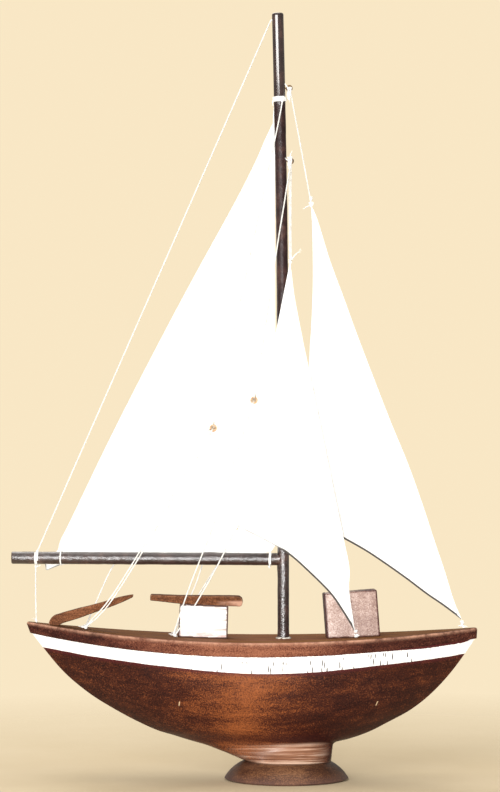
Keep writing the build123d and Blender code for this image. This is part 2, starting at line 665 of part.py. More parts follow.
os.makedirs("parts", exist_ok=True)
for name, shape in nodes.items():
    solids = []
    for piece in (shape if isinstance(shape, list) else [shape]):
        solids.extend(piece.solids())
    solids = [solid for solid in solids if solid.volume > SMALLEST_SOLID]
    export_step(solids[0] if len(solids) == 1 else Compound(children=solids), f"parts/{name}.step")
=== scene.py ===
import random
from math import atan2, ceil, copysign, cos, exp, hypot, pi, prod, radians, sin, sqrt, tau

import bmesh
import bpy
from mathutils import Euler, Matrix, Vector, geometry, noise


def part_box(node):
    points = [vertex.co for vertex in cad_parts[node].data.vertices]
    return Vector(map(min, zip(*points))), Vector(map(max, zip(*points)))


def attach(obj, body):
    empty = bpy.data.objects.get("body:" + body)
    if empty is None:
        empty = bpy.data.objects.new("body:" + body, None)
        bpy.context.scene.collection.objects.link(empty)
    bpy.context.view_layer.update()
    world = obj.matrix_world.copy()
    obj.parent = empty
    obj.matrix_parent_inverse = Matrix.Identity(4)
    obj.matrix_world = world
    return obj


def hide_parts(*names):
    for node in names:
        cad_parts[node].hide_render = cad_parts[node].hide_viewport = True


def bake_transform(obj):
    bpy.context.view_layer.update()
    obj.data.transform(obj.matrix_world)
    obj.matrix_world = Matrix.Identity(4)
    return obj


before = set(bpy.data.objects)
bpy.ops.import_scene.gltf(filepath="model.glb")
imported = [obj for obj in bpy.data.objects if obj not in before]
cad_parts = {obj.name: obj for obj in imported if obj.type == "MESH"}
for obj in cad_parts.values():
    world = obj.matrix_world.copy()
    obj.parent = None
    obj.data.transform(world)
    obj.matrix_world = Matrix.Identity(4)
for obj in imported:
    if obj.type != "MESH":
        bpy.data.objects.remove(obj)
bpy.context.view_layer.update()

# A wooden model sailboat on a turned foot. Shapes are worked out in millimetres and written in metres.
# +X is the bow, +Z is up, and the near side of the boat is -Y.

MM = 0.001
draw = random.Random(11)

# ---------------------------------------------------------------- dimensions, in millimetres
STERN_X, BOW_X = -207.1, 153.3              # ends of the sheer line, on top of the deck board
SHEER_LOW_X, SHEER_LOW_Z = -20.0, 111.8     # its lowest point
STERN_RISE, BOW_RISE = 13.8, 9.0            # how much higher its ends are
BOARD_MID, BOARD_STERN, BOARD_BOW = 11.5, 8.8, 8.3      # thickness of the deck board along the boat
BOARD_HALF = 47.06                          # half of its beam
BOARD_UNDERCUT = 2.4                        # how far its lower edge is further in
TIP_R, STERN_REACH, BOW_REACH = 4.0, 4.15, 3.35         # its tips, and how far past the sheer line they go

MAST_R, MAST_X = 4.6, -2.35
MAST_BEND_Z, MAST_LEAN = 250.0, 4.5         # above this height it bends, by so much at its top
MAST_LOW_Z, MAST_TOP_Z = 104.0, 610.2
BOOM_R, BOOM_END = 4.9, (-218.9, 176.2)     # its free end's x and z
BOOM_MAST_Z, BOOM_HORN_X = 174.9, -4.9      # height at the mast, and where its saddle starts
STRING = 1.1                                # diameter
CLOTH = 0.45                                # thickness
WHIPPING_Z = 541.4
LACQUER_END_Z = (535.0, 545.0)              # the mast is lumpy below and smooth above
MAINSAIL_Y = 6.75
EYELET_AFT, EYELET_FORE, EYELET_HOLE_R = (-58.3, 279.4), (-25.7, 301.7), 1.9
NEAR_FACE_Y, FAR_FACE_Y = 4.0, 9.3          # where strings lie on the mainsail's two faces

# hull levels: height, stern end, bow end, half beam, and how far the outline is a lens
# (1) rather than an oval (0)
HULL_LEVELS = [
    (14.6, -32.0, 35.7, 26.3, 0.0), (17.2, -38.6, 36.1, 23.0, 0.0), (20.5, -46.5, 36.4, 20.5, 0.05),
    (24.0, -55.5, 36.8, 19.2, 0.2), (27.0, -63.5, 37.2, 19.1, 0.45), (29.0, -70.5, 38.6, 19.7, 0.65),
    (31.5, -79.3, 48.6, 21.0, 0.85), (34.6, -89.0, 58.4, 23.2, 0.97), (38.1, -101.1, 67.2, 25.6, 1.0),
    (44.4, -115.6, 79.6, 29.8, 1.0), (55.1, -136.0, 99.2, 35.2, 1.0), (67.7, -156.3, 115.2, 39.2, 1.0),
    (85.0, -177.0, 131.3, 42.6, 1.0), (104.9, -193.9, 145.8, 44.4, 1.0), (119.0, -204.6, 154.8, 45.4, 1.0),
    (130.0, -212.0, 161.0, 46.0, 1.0),
]


# ---------------------------------------------------------------- shared geometry
def arc_rise(run, full_run, full_rise):
    """Height gained along an arc that starts level."""
    radius = (full_run ** 2 + full_rise ** 2) / (2 * full_rise)
    return radius - sqrt(max(radius ** 2 - run ** 2, 0.0))


def sheer(x, low_z, stern_z, bow_z):
    """Height of a sheer line that is lowest at SHEER_LOW_X and meets both ends."""
    end_x, end_z = (STERN_X, stern_z) if x < SHEER_LOW_X else (BOW_X, bow_z)
    return low_z + arc_rise(x - SHEER_LOW_X, end_x - SHEER_LOW_X, end_z - low_z)


def deck_z(x):
    return sheer(x, SHEER_LOW_Z, SHEER_LOW_Z + STERN_RISE, SHEER_LOW_Z + BOW_RISE)


def board_bottom_z(x):
    return sheer(x, SHEER_LOW_Z - BOARD_MID, SHEER_LOW_Z + STERN_RISE - BOARD_STERN,
                 SHEER_LOW_Z + BOW_RISE - BOARD_BOW)


def mast_x(z):
    if z <= MAST_BEND_Z:
        return MAST_X
    return MAST_X - arc_rise(z - MAST_BEND_Z, MAST_TOP_Z - MAST_BEND_Z, MAST_LEAN)


def boom_z(x):
    share = (x - BOOM_END[0]) / (MAST_X - BOOM_END[0])
    return BOOM_END[1] + share * (BOOM_MAST_Z - BOOM_END[1])


def angles(count):
    """Angles of a ring of points."""
    return [tau * k / count for k in range(count)]


def smooth_step(low, high, value):
    t = min(1.0, max(0.0, (value - low) / (high - low)))
    return t * t * (3 - 2 * t)


def lumps(point, scale, seed=0.0):
    """Smooth noise from -1 to 1, for a point in millimetres and a feature size in millimetres."""
    return noise.noise(Vector(point) / scale + Vector((seed, seed * 1.7, -seed)))


def level_at(z):
    """Hull level at a height, by a cubic through the levels that doesn't overshoot."""
    rows = HULL_LEVELS
    z = min(max(z, rows[0][0]), rows[-1][0])
    i = max(k for k in range(len(rows) - 1) if rows[k][0] <= z)
    step = rows[i + 1][0] - rows[i][0]
    t = (z - rows[i][0]) / step

    def slope(k, column):
        if k in (0, len(rows) - 1):
            other = 1 if k == 0 else len(rows) - 2
            return (rows[other][column] - rows[k][column]) / (rows[other][0] - rows[k][0])
        before = (rows[k][column] - rows[k - 1][column]) / (rows[k][0] - rows[k - 1][0])
        after = (rows[k + 1][column] - rows[k][column]) / (rows[k + 1][0] - rows[k][0])
        return 0.0 if before * after <= 0 else 2 * before * after / (before + after)

    values = []
    for column in (1, 2, 3, 4):
        a, b = rows[i][column], rows[i + 1][column]
        values.append(
            a * (1 + 2 * t) * (1 - t) ** 2 + b * t * t * (3 - 2 * t)
            + step * (slope(i, column) * t * (1 - t) ** 2 - slope(i + 1, column) * t * t * (1 - t)))
    return values


# ---------------------------------------------------------------- mesh helpers
def join_rings(starts, count):
    """Faces between rings of count points that start at the given numbers."""
    return [(low + k, low + (k + 1) % count, high + (k + 1) % count, high + k)
            for low, high in zip(starts, starts[1:]) for k in range(count)]


def mesh_object(name, points, faces, sharp=None):
    """Object from points in millimetres, shaded smooth, with edges over the sharp angle kept."""
    mesh = bpy.data.meshes.new(name)
    mesh.from_pydata([Vector(p) * MM for p in points], [], faces)
    mesh.validate()
    mesh.shade_smooth()
    if sharp:
        mesh.set_sharp_from_angle(angle=radians(sharp))
    thing = bpy.data.objects.new(name, mesh)
    bpy.context.scene.collection.objects.link(thing)
    return thing


def face_outwards(thing):
    work = bmesh.new()
    work.from_mesh(thing.data)
    bmesh.ops.recalc_face_normals(work, faces=work.faces)
    work.to_mesh(thing.data)
    work.free()


def set_values(thing, name, values):
    """Per-point values that the materials read."""
    layer = thing.data.attributes.new(name, "FLOAT", "POINT")
    layer.data.foreach_set("value", values)


class Shape:
    """Points and faces that several tubes are gathered in. grooves says how deep between a string's
    strands a point is."""

    def __init__(self):
        self.points, self.faces, self.grooves = [], [], {}

    def rings(self, rings, closed=False):
        """Joins rings of equal count in order. Open ends get a cap."""
        base, count = len(self.points), len(rings[0])
        starts = [base + i * count for i in range(len(rings))]
        for ring in rings:
            self.points.extend(ring)
        self.faces += join_rings([*starts, base] if closed else starts, count)
        if not closed:
            self.faces.append(tuple(reversed(range(base, base + count))))
            self.faces.append(tuple(range(starts[-1], starts[-1] + count)))
        return self

    def tube(self, line, radius, sides=6, closed=False):
        """Round tube along a line. The radius is a number or a function of the share along it."""
        frames = frames_along(line, closed)
        rings = []
        for i, (point, side, up) in enumerate(frames):
            share = i / max(1, len(frames) - 1)
            r = radius(share) if callable(radius) else radius
            rings.append([point + r * (cos(a) * side + sin(a) * up) for a in angles(sides)])
        self.rings(rings, closed)

    def add(self, name):
        thing = mesh_object(name, self.points, self.faces)
        if self.grooves:
            set_values(thing, "groove", [self.grooves.get(i, 0.0) for i in range(len(self.points))])
        return thing


def frames_along(line, closed=False):
    """Point, side and up at each point of a line, turning as little as possible."""
    line = [Vector(p) for p in line]
    count = len(line)
    frames = []
    side = None
    for i, point in enumerate(line):
        if closed:
            along = line[(i + 1) % count] - line[i - 1]
        else:
            along = line[min(i + 1, count - 1)] - line[max(i - 1, 0)]
        along.normalize()
        if side is None:
            side = along.orthogonal()
        side = (side - along * side.dot(along)).normalized()
        frames.append((point, side.copy(), along.cross(side)))
    if closed:
        turn = atan2(frames[0][1].dot(frames[-1][2]), frames[0][1].dot(frames[-1][1]))
        for i, (point, side, up) in enumerate(frames):
            a = turn * i / count
            frames[i] = (point, cos(a) * side + sin(a) * up, cos(a) * up - sin(a) * side)
    return frames


def even(line, step):
    """The line again, with points about step apart."""
    line = [Vector(p) for p in line]
    marks = [0.0]
    for a, b in zip(line, line[1:]):
        marks.append(marks[-1] + (b - a).length)
    count = max(2, ceil(marks[-1] / step) + 1)
    out, i = [], 0
    for k in range(count):
        at = marks[-1] * k / (count - 1)
        while i < len(line) - 2 and marks[i + 1] < at:
            i += 1
        share = (at - marks[i]) / max(marks[i + 1] - marks[i], 1e-9)
        out.append(line[i].lerp(line[i + 1], min(1.0, share)))
    return out


def spline_line(route):
    """Points of the smooth NURBS line that has the route as its control points, in millimetres."""
    curve = bpy.data.curves.new("route", "CURVE")
    curve.dimensions = "3D"
    curve.resolution_u = 12
    spline = curve.splines.new("NURBS")
    spline.points.add(len(route) - 1)
    for control, place in zip(spline.points, route):
        control.co = (*(Vector(place) * MM), 1.0)
    spline.order_u = 3
    spline.use_endpoint_u = True
    holder = bpy.data.objects.new("route", curve)
    mesh = bpy.data.meshes.new_from_object(holder)
    line = [v.co / MM for v in mesh.vertices]
    bpy.data.meshes.remove(mesh)
    bpy.data.objects.remove(holder)
    bpy.data.curves.remove(curve)
    return line


PITCH = 3.4                 # of the string's twist
PITCH_STEPS = 8
STRANDS = 3
STRAND_OFFSET = 0.31
STRAND_R = 0.30
STRAND_SIDES = 5
KNOT_STEPS = 72


def twisted(shape, line, offset=STRAND_OFFSET, radius=STRAND_R, pitch=PITCH, closed=False):
    """Three-strand twisted string along a line."""
    step = pitch / PITCH_STEPS
    line = even(line, step)
    if closed:
        line = line[:-1]
    frames = frames_along(line, closed)
    turns = len(frames) * step / pitch
    if closed:
        turns = max(1, round(turns))
    for strand in range(STRANDS):
        path, first = [], len(shape.points)
        for i, (point, side, up) in enumerate(frames):
            a = tau * (turns * i / len(frames) + strand / STRANDS)
            path.append(point + offset * (cos(a) * side + sin(a) * up))
        shape.tube(path, radius, STRAND_SIDES, closed)
        for k in range(first, len(shape.points)):
            away = (shape.points[k] - frames[(k - first) // STRAND_SIDES][0]).length
            shape.grooves[k] = 1 - smooth_step(offset, offset + radius * 0.9, away)


def drawn_vector(spread):
    return Vector([draw.uniform(-spread, spread) for _ in range(3)])


def frayed(shape, start, direction, length, fibres=7, fibre_r=0.16):
    """Cut end of a string whose fibres have come apart."""
    direction = Vector(direction).normalized()
    for _ in range(fibres):
        lean = direction + drawn_vector(0.5)
        reach = length * draw.uniform(0.6, 1.0)
        curl = drawn_vector(0.5)
        points = [Vector(start) + (direction + lean) * (reach * k / 8) + curl * (k / 4) ** 2
                  for k in range(5)]
        shape.tube(points, lambda share: fibre_r * (1 - 0.75 * share), 4)


def tail(shape, start, direction, length, fray):
    """Loose end: a short twisted piece and its frayed fibres."""
    direction = Vector(direction).normalized()
    bend = drawn_vector(0.25)
    points = [Vector(start) + direction * (length * k / 6) + bend * (length * (k / 6) ** 2) for k in range(7)]
    twisted(shape, points, STRAND_OFFSET * 0.85, STRAND_R * 0.9)
    frayed(shape, points[-1], points[-1] - points[-2], fray)


def overhand(shape, centre, size, tilt, radius=0.5):
    """Tight overhand knot: a trefoil of string."""
    turn = Euler([radians(a) for a in tilt]).to_matrix()
    line = []
    for t in [*angles(KNOT_STEPS), tau]:
        place = Vector((sin(t) + 2 * sin(2 * t), cos(t) - 2 * cos(2 * t),
                        -sin(3 * t)))
        line.append(Vector(centre) + turn @ (place * size))
    share = radius / 0.56
    twisted(shape, line, STRAND_OFFSET * share, STRAND_R * share, 2.6, closed=True)


def winding(shape, centre, axis, radius, turns, pitch=STRING, start=0.0, squash=0.0):
    """Turns of string laid side by side round a spar."""
    axis = Vector(axis).normalized()
    side = axis.orthogonal().normalized()
    up = axis.cross(side)
    steps = max(12, int(turns * 36))
    line = []
    for k in range(steps + 1):
        a = tau * turns * k / steps + start
        along = (turns * k / steps - turns / 2) * pitch
        wave = squash * sin(2 * a + 0.6)
        line.append(Vector(centre) + axis * (along + wave) + radius * (cos(a) * side + sin(a) * up))
    twisted(shape, line)


# ---------------------------------------------------------------- materials
class Value:
    """Output of a shader node. Sums and products of outputs make math nodes."""

    def __init__(self, nodes, socket):
        self.nodes, self.socket = nodes, socket

    def __add__(self, other):
        return self.nodes.math("ADD", self, other)

    def __sub__(self, other):
        return self.nodes.math("SUBTRACT", self, other)

    def __rsub__(self, other):
        return self.nodes.math("SUBTRACT", other, self)

    def __mul__(self, other):
        return self.nodes.math("MULTIPLY", self, other)

    def __abs__(self):
        return self.nodes.math("ABSOLUTE", self)


class Nodes:
    """New material, and a short way to add and join its shader nodes."""

    def __init__(self, name):
        self.material = bpy.data.materials.new(name)
        self.material.use_nodes = True
        self.tree = self.material.node_tree
        self.out = self.tree.nodes["Principled BSDF"]

    def add(self, kind, inputs=None, **settings):
        node = self.tree.nodes.new(kind)
        for key, value in settings.items():
            setattr(node, key, value)
        for key, value in (inputs or {}).items():
            self.put(node.inputs[key], value)
        return node

    def value(self, kind, output, inputs=None, **settings):
        return Value(self, self.add(kind, inputs, **settings).outputs[output])

    def put(self, socket, value):
        if isinstance(value, Value):
            self.tree.links.new(value.socket, socket)
        else:
            socket.default_value = (*value, 1.0) if socket.type == "RGBA" else value

    def place(self, scale=(1, 1, 1)):
        """Position in the boat's frame, in metres, stretched by scale."""
        place = self.value("ShaderNodeTexCoord", "Object")
        return self.value("ShaderNodeMapping", 0, {"Vector": place, "Scale": scale})

    def axis(self, name):
        return self.value("ShaderNodeSeparateXYZ", name, {0: self.value("ShaderNodeTexCoord", "Object")})

    def attribute(self, name):
        return self.value("ShaderNodeAttribute", "Fac", attribute_name=name)

    def noise(self, scale, detail=3.0, rough=0.55, stretch=(1, 1, 1), distort=0.0):
        return self.value("ShaderNodeTexNoise", "Fac", {
            "Vector": self.place(stretch), "Scale": scale, "Detail": detail, "Roughness": rough,
            "Distortion": distort})

    def ramp(self, value, places, colours):
        node = self.add("ShaderNodeValToRGB", {"Fac": value})
        band = node.color_ramp
        while len(band.elements) < len(places):
            band.elements.new(0.5)
        for element, place, colour in zip(band.elements, places, colours):
            element.position = place
            element.color = (*(colour if isinstance(colour, tuple) else [colour] * 3), 1.0)
        return Value(self, node.outputs["Color"])

    def wander(self, scale, detail, low, high):
        """Value or colour that wanders between two."""
        return self.ramp(self.noise(scale, detail), (0.3, 0.7), (low, high))

    def math(self, operation, a, b=0.0):
        return self.value("ShaderNodeMath", 0, {0: a, 1: b}, operation=operation)

    def larger(self, a, b):
        return self.math("MAXIMUM", a, b)

    def mix(self, share, a, b):
        return self.value("ShaderNodeMix", 2, {0: share, 6: a, 7: b}, data_type="RGBA")

    def band(self, value, low, high):
        """0 below low, 1 above high."""
        return self.value("ShaderNodeMapRange", 0, {"Value": value, "From Min": low, "From Max": high})

    def below(self, value, low, high):
        """1 below low, 0 above high."""
        return 1.0 - self.band(value, low, high)

    def within(self, value, start, full, fall, end):
        """1 from full to fall, 0 before start and after end."""
        return self.band(value, start, full) * self.below(value, fall, end)

    def bump(self, height, distance, strength=1.0, after=None):
        inputs = {"Height": height, "Distance": distance, "Strength": strength}
        if after is not None:
            inputs["Normal"] = after
        return self.value("ShaderNodeBump", 0, inputs)

    def finish(self, **inputs):
        for key, value in inputs.items():
            self.put(self.out.inputs[key.replace("_", " ")], value)
        return self.material


def stained_colour(n, tones, grain, speckle, spread, painted_light_shift=0.0):
    """Mottled wood stain: cloudy patches, streaks along the grain, and fine pepper. The tones go from
    dark to light, and painted_light_shift moves the stain towards its light tone, which paints light and
    shade into it."""
    clouds = n.noise(spread, 4.0, 0.6, (0.6, 1.0, 1.5), 0.5)
    streaks = n.noise(1.0, 6.0, 0.72, grain, 0.3)
    fine = n.noise(1100.0, 3.0, 0.75)
    colour = n.ramp(clouds * 0.17 + streaks * 0.29 + fine * 0.54 + painted_light_shift, (0.385, 0.5, 0.615), tones)
    pepper = n.band(n.noise(620.0, 2.0, 0.7), 0.56, 0.70)
    patches = n.band(n.noise(26.0, 2.0), 0.40, 0.62)
    return n.mix(pepper * patches * speckle, colour, tuple(min(1.0, c * 1.7 + 0.02) for c in tones[2]))


def shade_ends_light_middle(n, amount, middle=-0.036, near=0.02, far=0.12):
    """Painted light and shade, partly the stain's own tone: the stain is lighter amidships and darker towards
    both ends, where the surfaces turn from the light.
    """
    return amount - n.band(abs(n.axis("X") - middle), near, far) * (2 * amount)


def outline(n, node, width, slant=0.0):
    """1 near the fore and top edges of a block, where the materials paint shade as dark lines."""
    low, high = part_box(node)
    fore = n.band(n.axis("X") + (n.axis("Z") - low.z) * slant, high.x - width, high.x - 0.45 * width)
    top = n.band(n.axis("Z"), high.z - width, high.z - 0.5 * width)
    return n.larger(fore, top) * n.band(n.noise(210.0, 3.0, 0.7), 0.30, 0.50)


def wood(name, tones, grain, speckle, spread, rough, worn, gloss, coat=0.0, ends=None, detail=None):
    """Stained wood. ends are the values of shade_ends_light_middle, which paints light and shade, and detail
    paints what only one piece shows.
    """
    n = Nodes(name)
    colour = stained_colour(n, tones, grain, speckle, spread, shade_ends_light_middle(n, *ends) if ends else 0.0)
    # edges get the edge colour: worn wood on the trim, worn wood with a painted highlight on the deck board,
    # painted shade on the bow block; downward faces get painted shade
    colour = n.mix(n.attribute("wear") * n.band(n.noise(90.0, 4.0, 0.7), 0.30, 0.62), colour, worn)
    colour = n.mix(n.attribute("under") * 0.85, colour, tuple(0.3 * c for c in tones[0]))
    if detail:
        colour = detail(n, colour)
    fine = n.noise(1.0, 6.0, 0.7, tuple(4.0 * g for g in grain))
    normal = n.bump(fine, 0.00035, 0.35, n.bump(n.noise(60.0, 3.0), 0.0008, 0.25))
    return n.finish(Base_Color=colour, Roughness=n.wander(48.0, 4.0, *rough), Coat_Weight=coat,
                    Coat_Roughness=0.2, Specular_IOR_Level=gloss, Normal=normal)


def board_top_painted_light(n, colour):
    """Painted light: the board's top face is lighter and browner than its edge, in streaks, standing in for
    the light that falls on it.
    """
    flat = n.attribute("top") * n.band(n.noise(1.0, 5.0, 0.65, (9, 120, 120)), 0.30, 0.62)
    return n.mix(flat, colour, (0.21, 0.088, 0.024))


def plank_wear_and_highlight(n, colour):
    """The plank is paler along its lower front edge, towards the bow: worn wood brightened by a painted
    highlight.
    """
    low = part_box("roof_plank")[0].z
    pale_and_highlit = n.band(n.axis("X"), -0.056, -0.044) * n.band(n.axis("Z"), low + 0.0052, low + 0.0036)
    pale_and_highlit = pale_and_highlit * n.band(n.noise(1.0, 4.0, 0.6, (60, 200, 200)), 0.30, 0.50)
    return n.mix(pale_and_highlit * 0.9, colour, (0.46, 0.26, 0.18))


def block_edge_shade(n, colour):
    """Painted shade: dark lines along the bow block's leaning aft edge and its fore and top edges."""
    slant, edge_x, edge_z = 0.0734, 0.03325, 0.113      # the aft edge's lean, and a point on it
    aft = edge_x + slant * edge_z
    strip = n.below(n.axis("X") + n.axis("Z") * slant, aft, aft + 0.0009)
    return n.mix(n.larger(strip, outline(n, "bow_block", 0.0016, slant)) * 0.9, colour, (0.045, 0.008, 0.008))


def hull_material():
    n = Nodes("hull_stain")
    x, y, z = n.axis("X"), n.axis("Y"), n.axis("Z")
    tones = (0.0135, 0.0035, 0.0035), (0.048, 0.0114, 0.0062), (0.25, 0.073, 0.0215)
    # painted light and shade, partly the stain's own tone: lighter amidships and on the upper hull, darker
    # towards the ends
    painted_light_shift = shade_ends_light_middle(n, 0.062, -0.034, 0.0, 0.066) + n.band(z, 0.045, 0.085) * 0.020
    stain = stained_colour(n, tones, (10, 150, 150), 0.25, 30.0, painted_light_shift)
    near_side = n.band(y, -0.001, -0.002)

    def nick(at_x, at_z, slant):
        rise = z - at_z
        return n.band(abs(x - at_x - rise * slant), 0.0005, 0.0003) * n.band(abs(rise), 0.0020, 0.0014)

    nicks = n.larger(nick(-0.0846, 0.0626, 0.15), nick(0.0714, 0.0620, 0.45))
    stain = n.mix(nicks * near_side, stain, (0.50, 0.36, 0.22))
    # a dark red line follows the band
    band = n.attribute("band")
    stain = n.mix(n.band(band, -0.0035, -0.0002) * 0.6, stain, (0.085, 0.012, 0.016))
    # a band of painted shade where the hull turns under into the stub, and the stub is paler wood in level
    # streaks, brightened with a painted highlight
    stain = n.mix(n.within(z, 0.0285, 0.0318, 0.0345, 0.040) * 0.55, stain, (0.030, 0.008, 0.007))
    pale_and_highlit = n.ramp(n.noise(1.0, 5.0, 0.65, (9, 30, 420), 0.2), (0.34, 0.46, 0.60),
                    ((0.080, 0.031, 0.018), (0.27, 0.125, 0.070), (0.68, 0.47, 0.35)))
    stub = n.below(z, 0.0262, 0.0312) * n.within(x, -0.05, 0.0, 0.018, 0.035)
    stain = n.mix(stub * 0.93, stain, pale_and_highlit)
    # white paint, laid on by hand, with ragged edges, short cracks and scuffs
    wander = (n.noise(60.0, 5.0, 0.65) - 0.5) * 0.0013
    fringe = (n.noise(500.0, 3.0, 0.7) - 0.5) * 0.0013
    low_edge = n.band(band + wander, -0.00012, 0.00012)
    high_edge = n.band(n.attribute("band_top") + (wander + fringe), -0.00012, 0.00012)
    painted = low_edge * high_edge
    along = x + n.noise(150.0, 2.0) * 0.0016
    flat = n.value("ShaderNodeCombineXYZ", 0, {"X": along * 520.0, "Y": z * 85.0})
    cell = n.add("ShaderNodeTexVoronoi", {"Vector": flat, "Scale": 1.0, "Randomness": 1.0},
                 voronoi_dimensions="2D")
    distance, shade = (Value(n, cell.outputs[name]) for name in ("Distance", "Color"))
    chosen = n.band(n.value("ShaderNodeSeparateColor", 0, {0: shade}), 0.70, 0.72)
    cracks = n.below(distance, 0.19, 0.30) * chosen * n.below(band, 0.0085, 0.0105) * near_side
    cracks = cracks * n.within(x, -0.098, -0.088, 0.108, 0.118)
    scuffs = n.band(n.noise(1.0, 5.0, 0.7, (60, 60, 400)), 0.56, 0.78)
    paint = n.mix(scuffs * 0.35, (0.86, 0.85, 0.83), (0.55, 0.53, 0.52))
    paint = n.mix(cracks * 0.92, paint, (0.045, 0.035, 0.035))
    step = n.bump(painted, 0.00012, 1.0, n.bump(n.noise(52.0, 3.0), 0.0011, 0.28))
    return n.finish(
        Base_Color=n.mix(painted, stain, paint), Coat_Weight=0.06 - painted * 0.05, Coat_Roughness=0.2,
        Roughness=n.mix(painted, n.wander(48.0, 4.0, 0.30, 0.46), (0.5, 0.5, 0.5)), Specular_IOR_Level=0.13,
        Normal=n.bump(n.noise(1.0, 6.0, 0.7, (50, 420, 420)), 0.0003, 0.32, step))


def foot_material():
    n = Nodes("foot_stain")
    tones = (0.022, 0.0085, 0.0062), (0.070, 0.028, 0.0150), (0.22, 0.100, 0.045)
    # painted light and shade, partly the stain's own tone: lighter in the middle of the foot, darker towards
    # its ends
    stain = stained_colour(n, tones, (40, 40, 160), 0.3, 60.0, shade_ends_light_middle(n, 0.042, -0.008, 0.005, 0.045))
    stain = n.mix(n.below(n.axis("Z"), 0.001, 0.0075) * 0.35, stain, (0.15, 0.085, 0.075))
    return n.finish(Base_Color=stain, Roughness=n.wander(70.0, 4.0, 0.34, 0.50), Coat_Weight=0.1,
                    Coat_Roughness=0.2, Specular_IOR_Level=0.25,
                    Normal=n.bump(n.noise(1.0, 5.0, 0.7, (160, 160, 500)), 0.0003, 0.35))


def lacquer_material():
    n = Nodes("spar_lacquer")
    z = n.axis("Z")
    colour = n.ramp(n.noise(90.0, 4.0, 0.65), (0.35, 0.55, 0.72),
                    ((0.014, 0.0065, 0.0068), (0.030, 0.0140, 0.0135), (0.070, 0.033, 0.026)))
    specks = n.band(n.noise(900.0, 2.0, 0.7), 0.62, 0.72)
    colour = n.mix(specks * 0.30, colour, (0.20, 0.14, 0.12))
    # the lacquer is smooth above the whipping and orange-peeled below it
    peel = 1.0 - n.band(z, *(end * MM for end in LACQUER_END_Z)) * 0.99
    boom = n.band(n.axis("X"), -0.006, -0.011)
    lumpy = n.bump(n.noise(60.0, 3.0), 0.0004, peel * 0.14)
    lumpy = n.bump(n.noise(360.0, 3.0, 0.75), 0.00062, peel, lumpy)
    # between the whipping and the boom the mast is dull
    dull = n.within(z, 0.190, 0.205, 0.536, 0.542)
    return n.finish(Base_Color=colour, Roughness=n.wander(160.0, 3.0, 0.36, 0.54), Specular_IOR_Level=0.12,
                    Coat_Weight=0.92 - dull * 0.84, Coat_Roughness=peel * 0.20 + 0.05 + boom * 0.07,
                    Coat_IOR=1.85, Normal=lumpy, Coat_Normal=lumpy)


def weave_height(n, pitch):
    """Plain weave: two sets of threads that go over and under each other."""
    warp, weft = (
        n.value("ShaderNodeTexWave", "Fac", {
            "Vector": n.place(), "Scale": tau / (20 * pitch), "Distortion": 0.25, "Detail": 1.0,
            "Detail Scale": 0.5}, bands_direction=direction)
        for direction in "XZ")
    checks = n.value("ShaderNodeTexChecker", "Fac", {"Vector": n.place(), "Scale": 1 / pitch})
    return n.value("ShaderNodeMix", 0, {0: checks, 2: warp, 3: weft})


def sailcloth_material():
    n = Nodes("sailcloth")
    slubs = n.noise(1.0, 3.0, 0.6, (18, 18, 900)) * 0.5 + n.noise(1.0, 3.0, 0.6, (900, 18, 18)) * 0.5
    colour = n.ramp(slubs, (0.38, 0.52, 0.66),
                    ((0.80, 0.785, 0.755), (0.90, 0.895, 0.875), (0.95, 0.95, 0.94)))
    colour = n.mix(n.band(n.noise(14.0, 4.0), 0.5, 0.8) * 0.25, colour, (0.82, 0.79, 0.72))
    # painted shade: a dark rim along the sails' lower edges, where the hem is in shadow
    edge = n.band(n.attribute("edge"), 0.0, 0.8) * n.band(n.noise(160.0, 3.0), 0.05, 0.32)
    colour = n.mix(edge * 0.97, colour, (0.022, 0.016, 0.013))
    creases = n.noise(42.0, 3.0, 0.5, (1, 1, 0.6), 0.4)
    normal = n.bump(weave_height(n, 0.00062), 0.00022, 0.45, n.bump(creases, 0.0012, 0.22))
    return n.finish(Base_Color=colour, Roughness=0.86, Sheen_Weight=0.25, Sheen_Roughness=0.5, Normal=normal)


def string_material(name, *tones):
    n = Nodes(name)
    colour = n.ramp(n.noise(420.0, 4.0, 0.7), (0.3, 0.5, 0.7), tones)
    # painted shade: darker in the grooves between the strands
    colour = n.mix(n.attribute("groove") * 0.45, colour, tuple(0.30 * c for c in tones[0]))
    return n.finish(Base_Color=colour, Roughness=0.9, Sheen_Weight=0.3,
                    Normal=n.bump(n.noise(2600.0, 3.0, 0.7), 0.0001, 0.5))


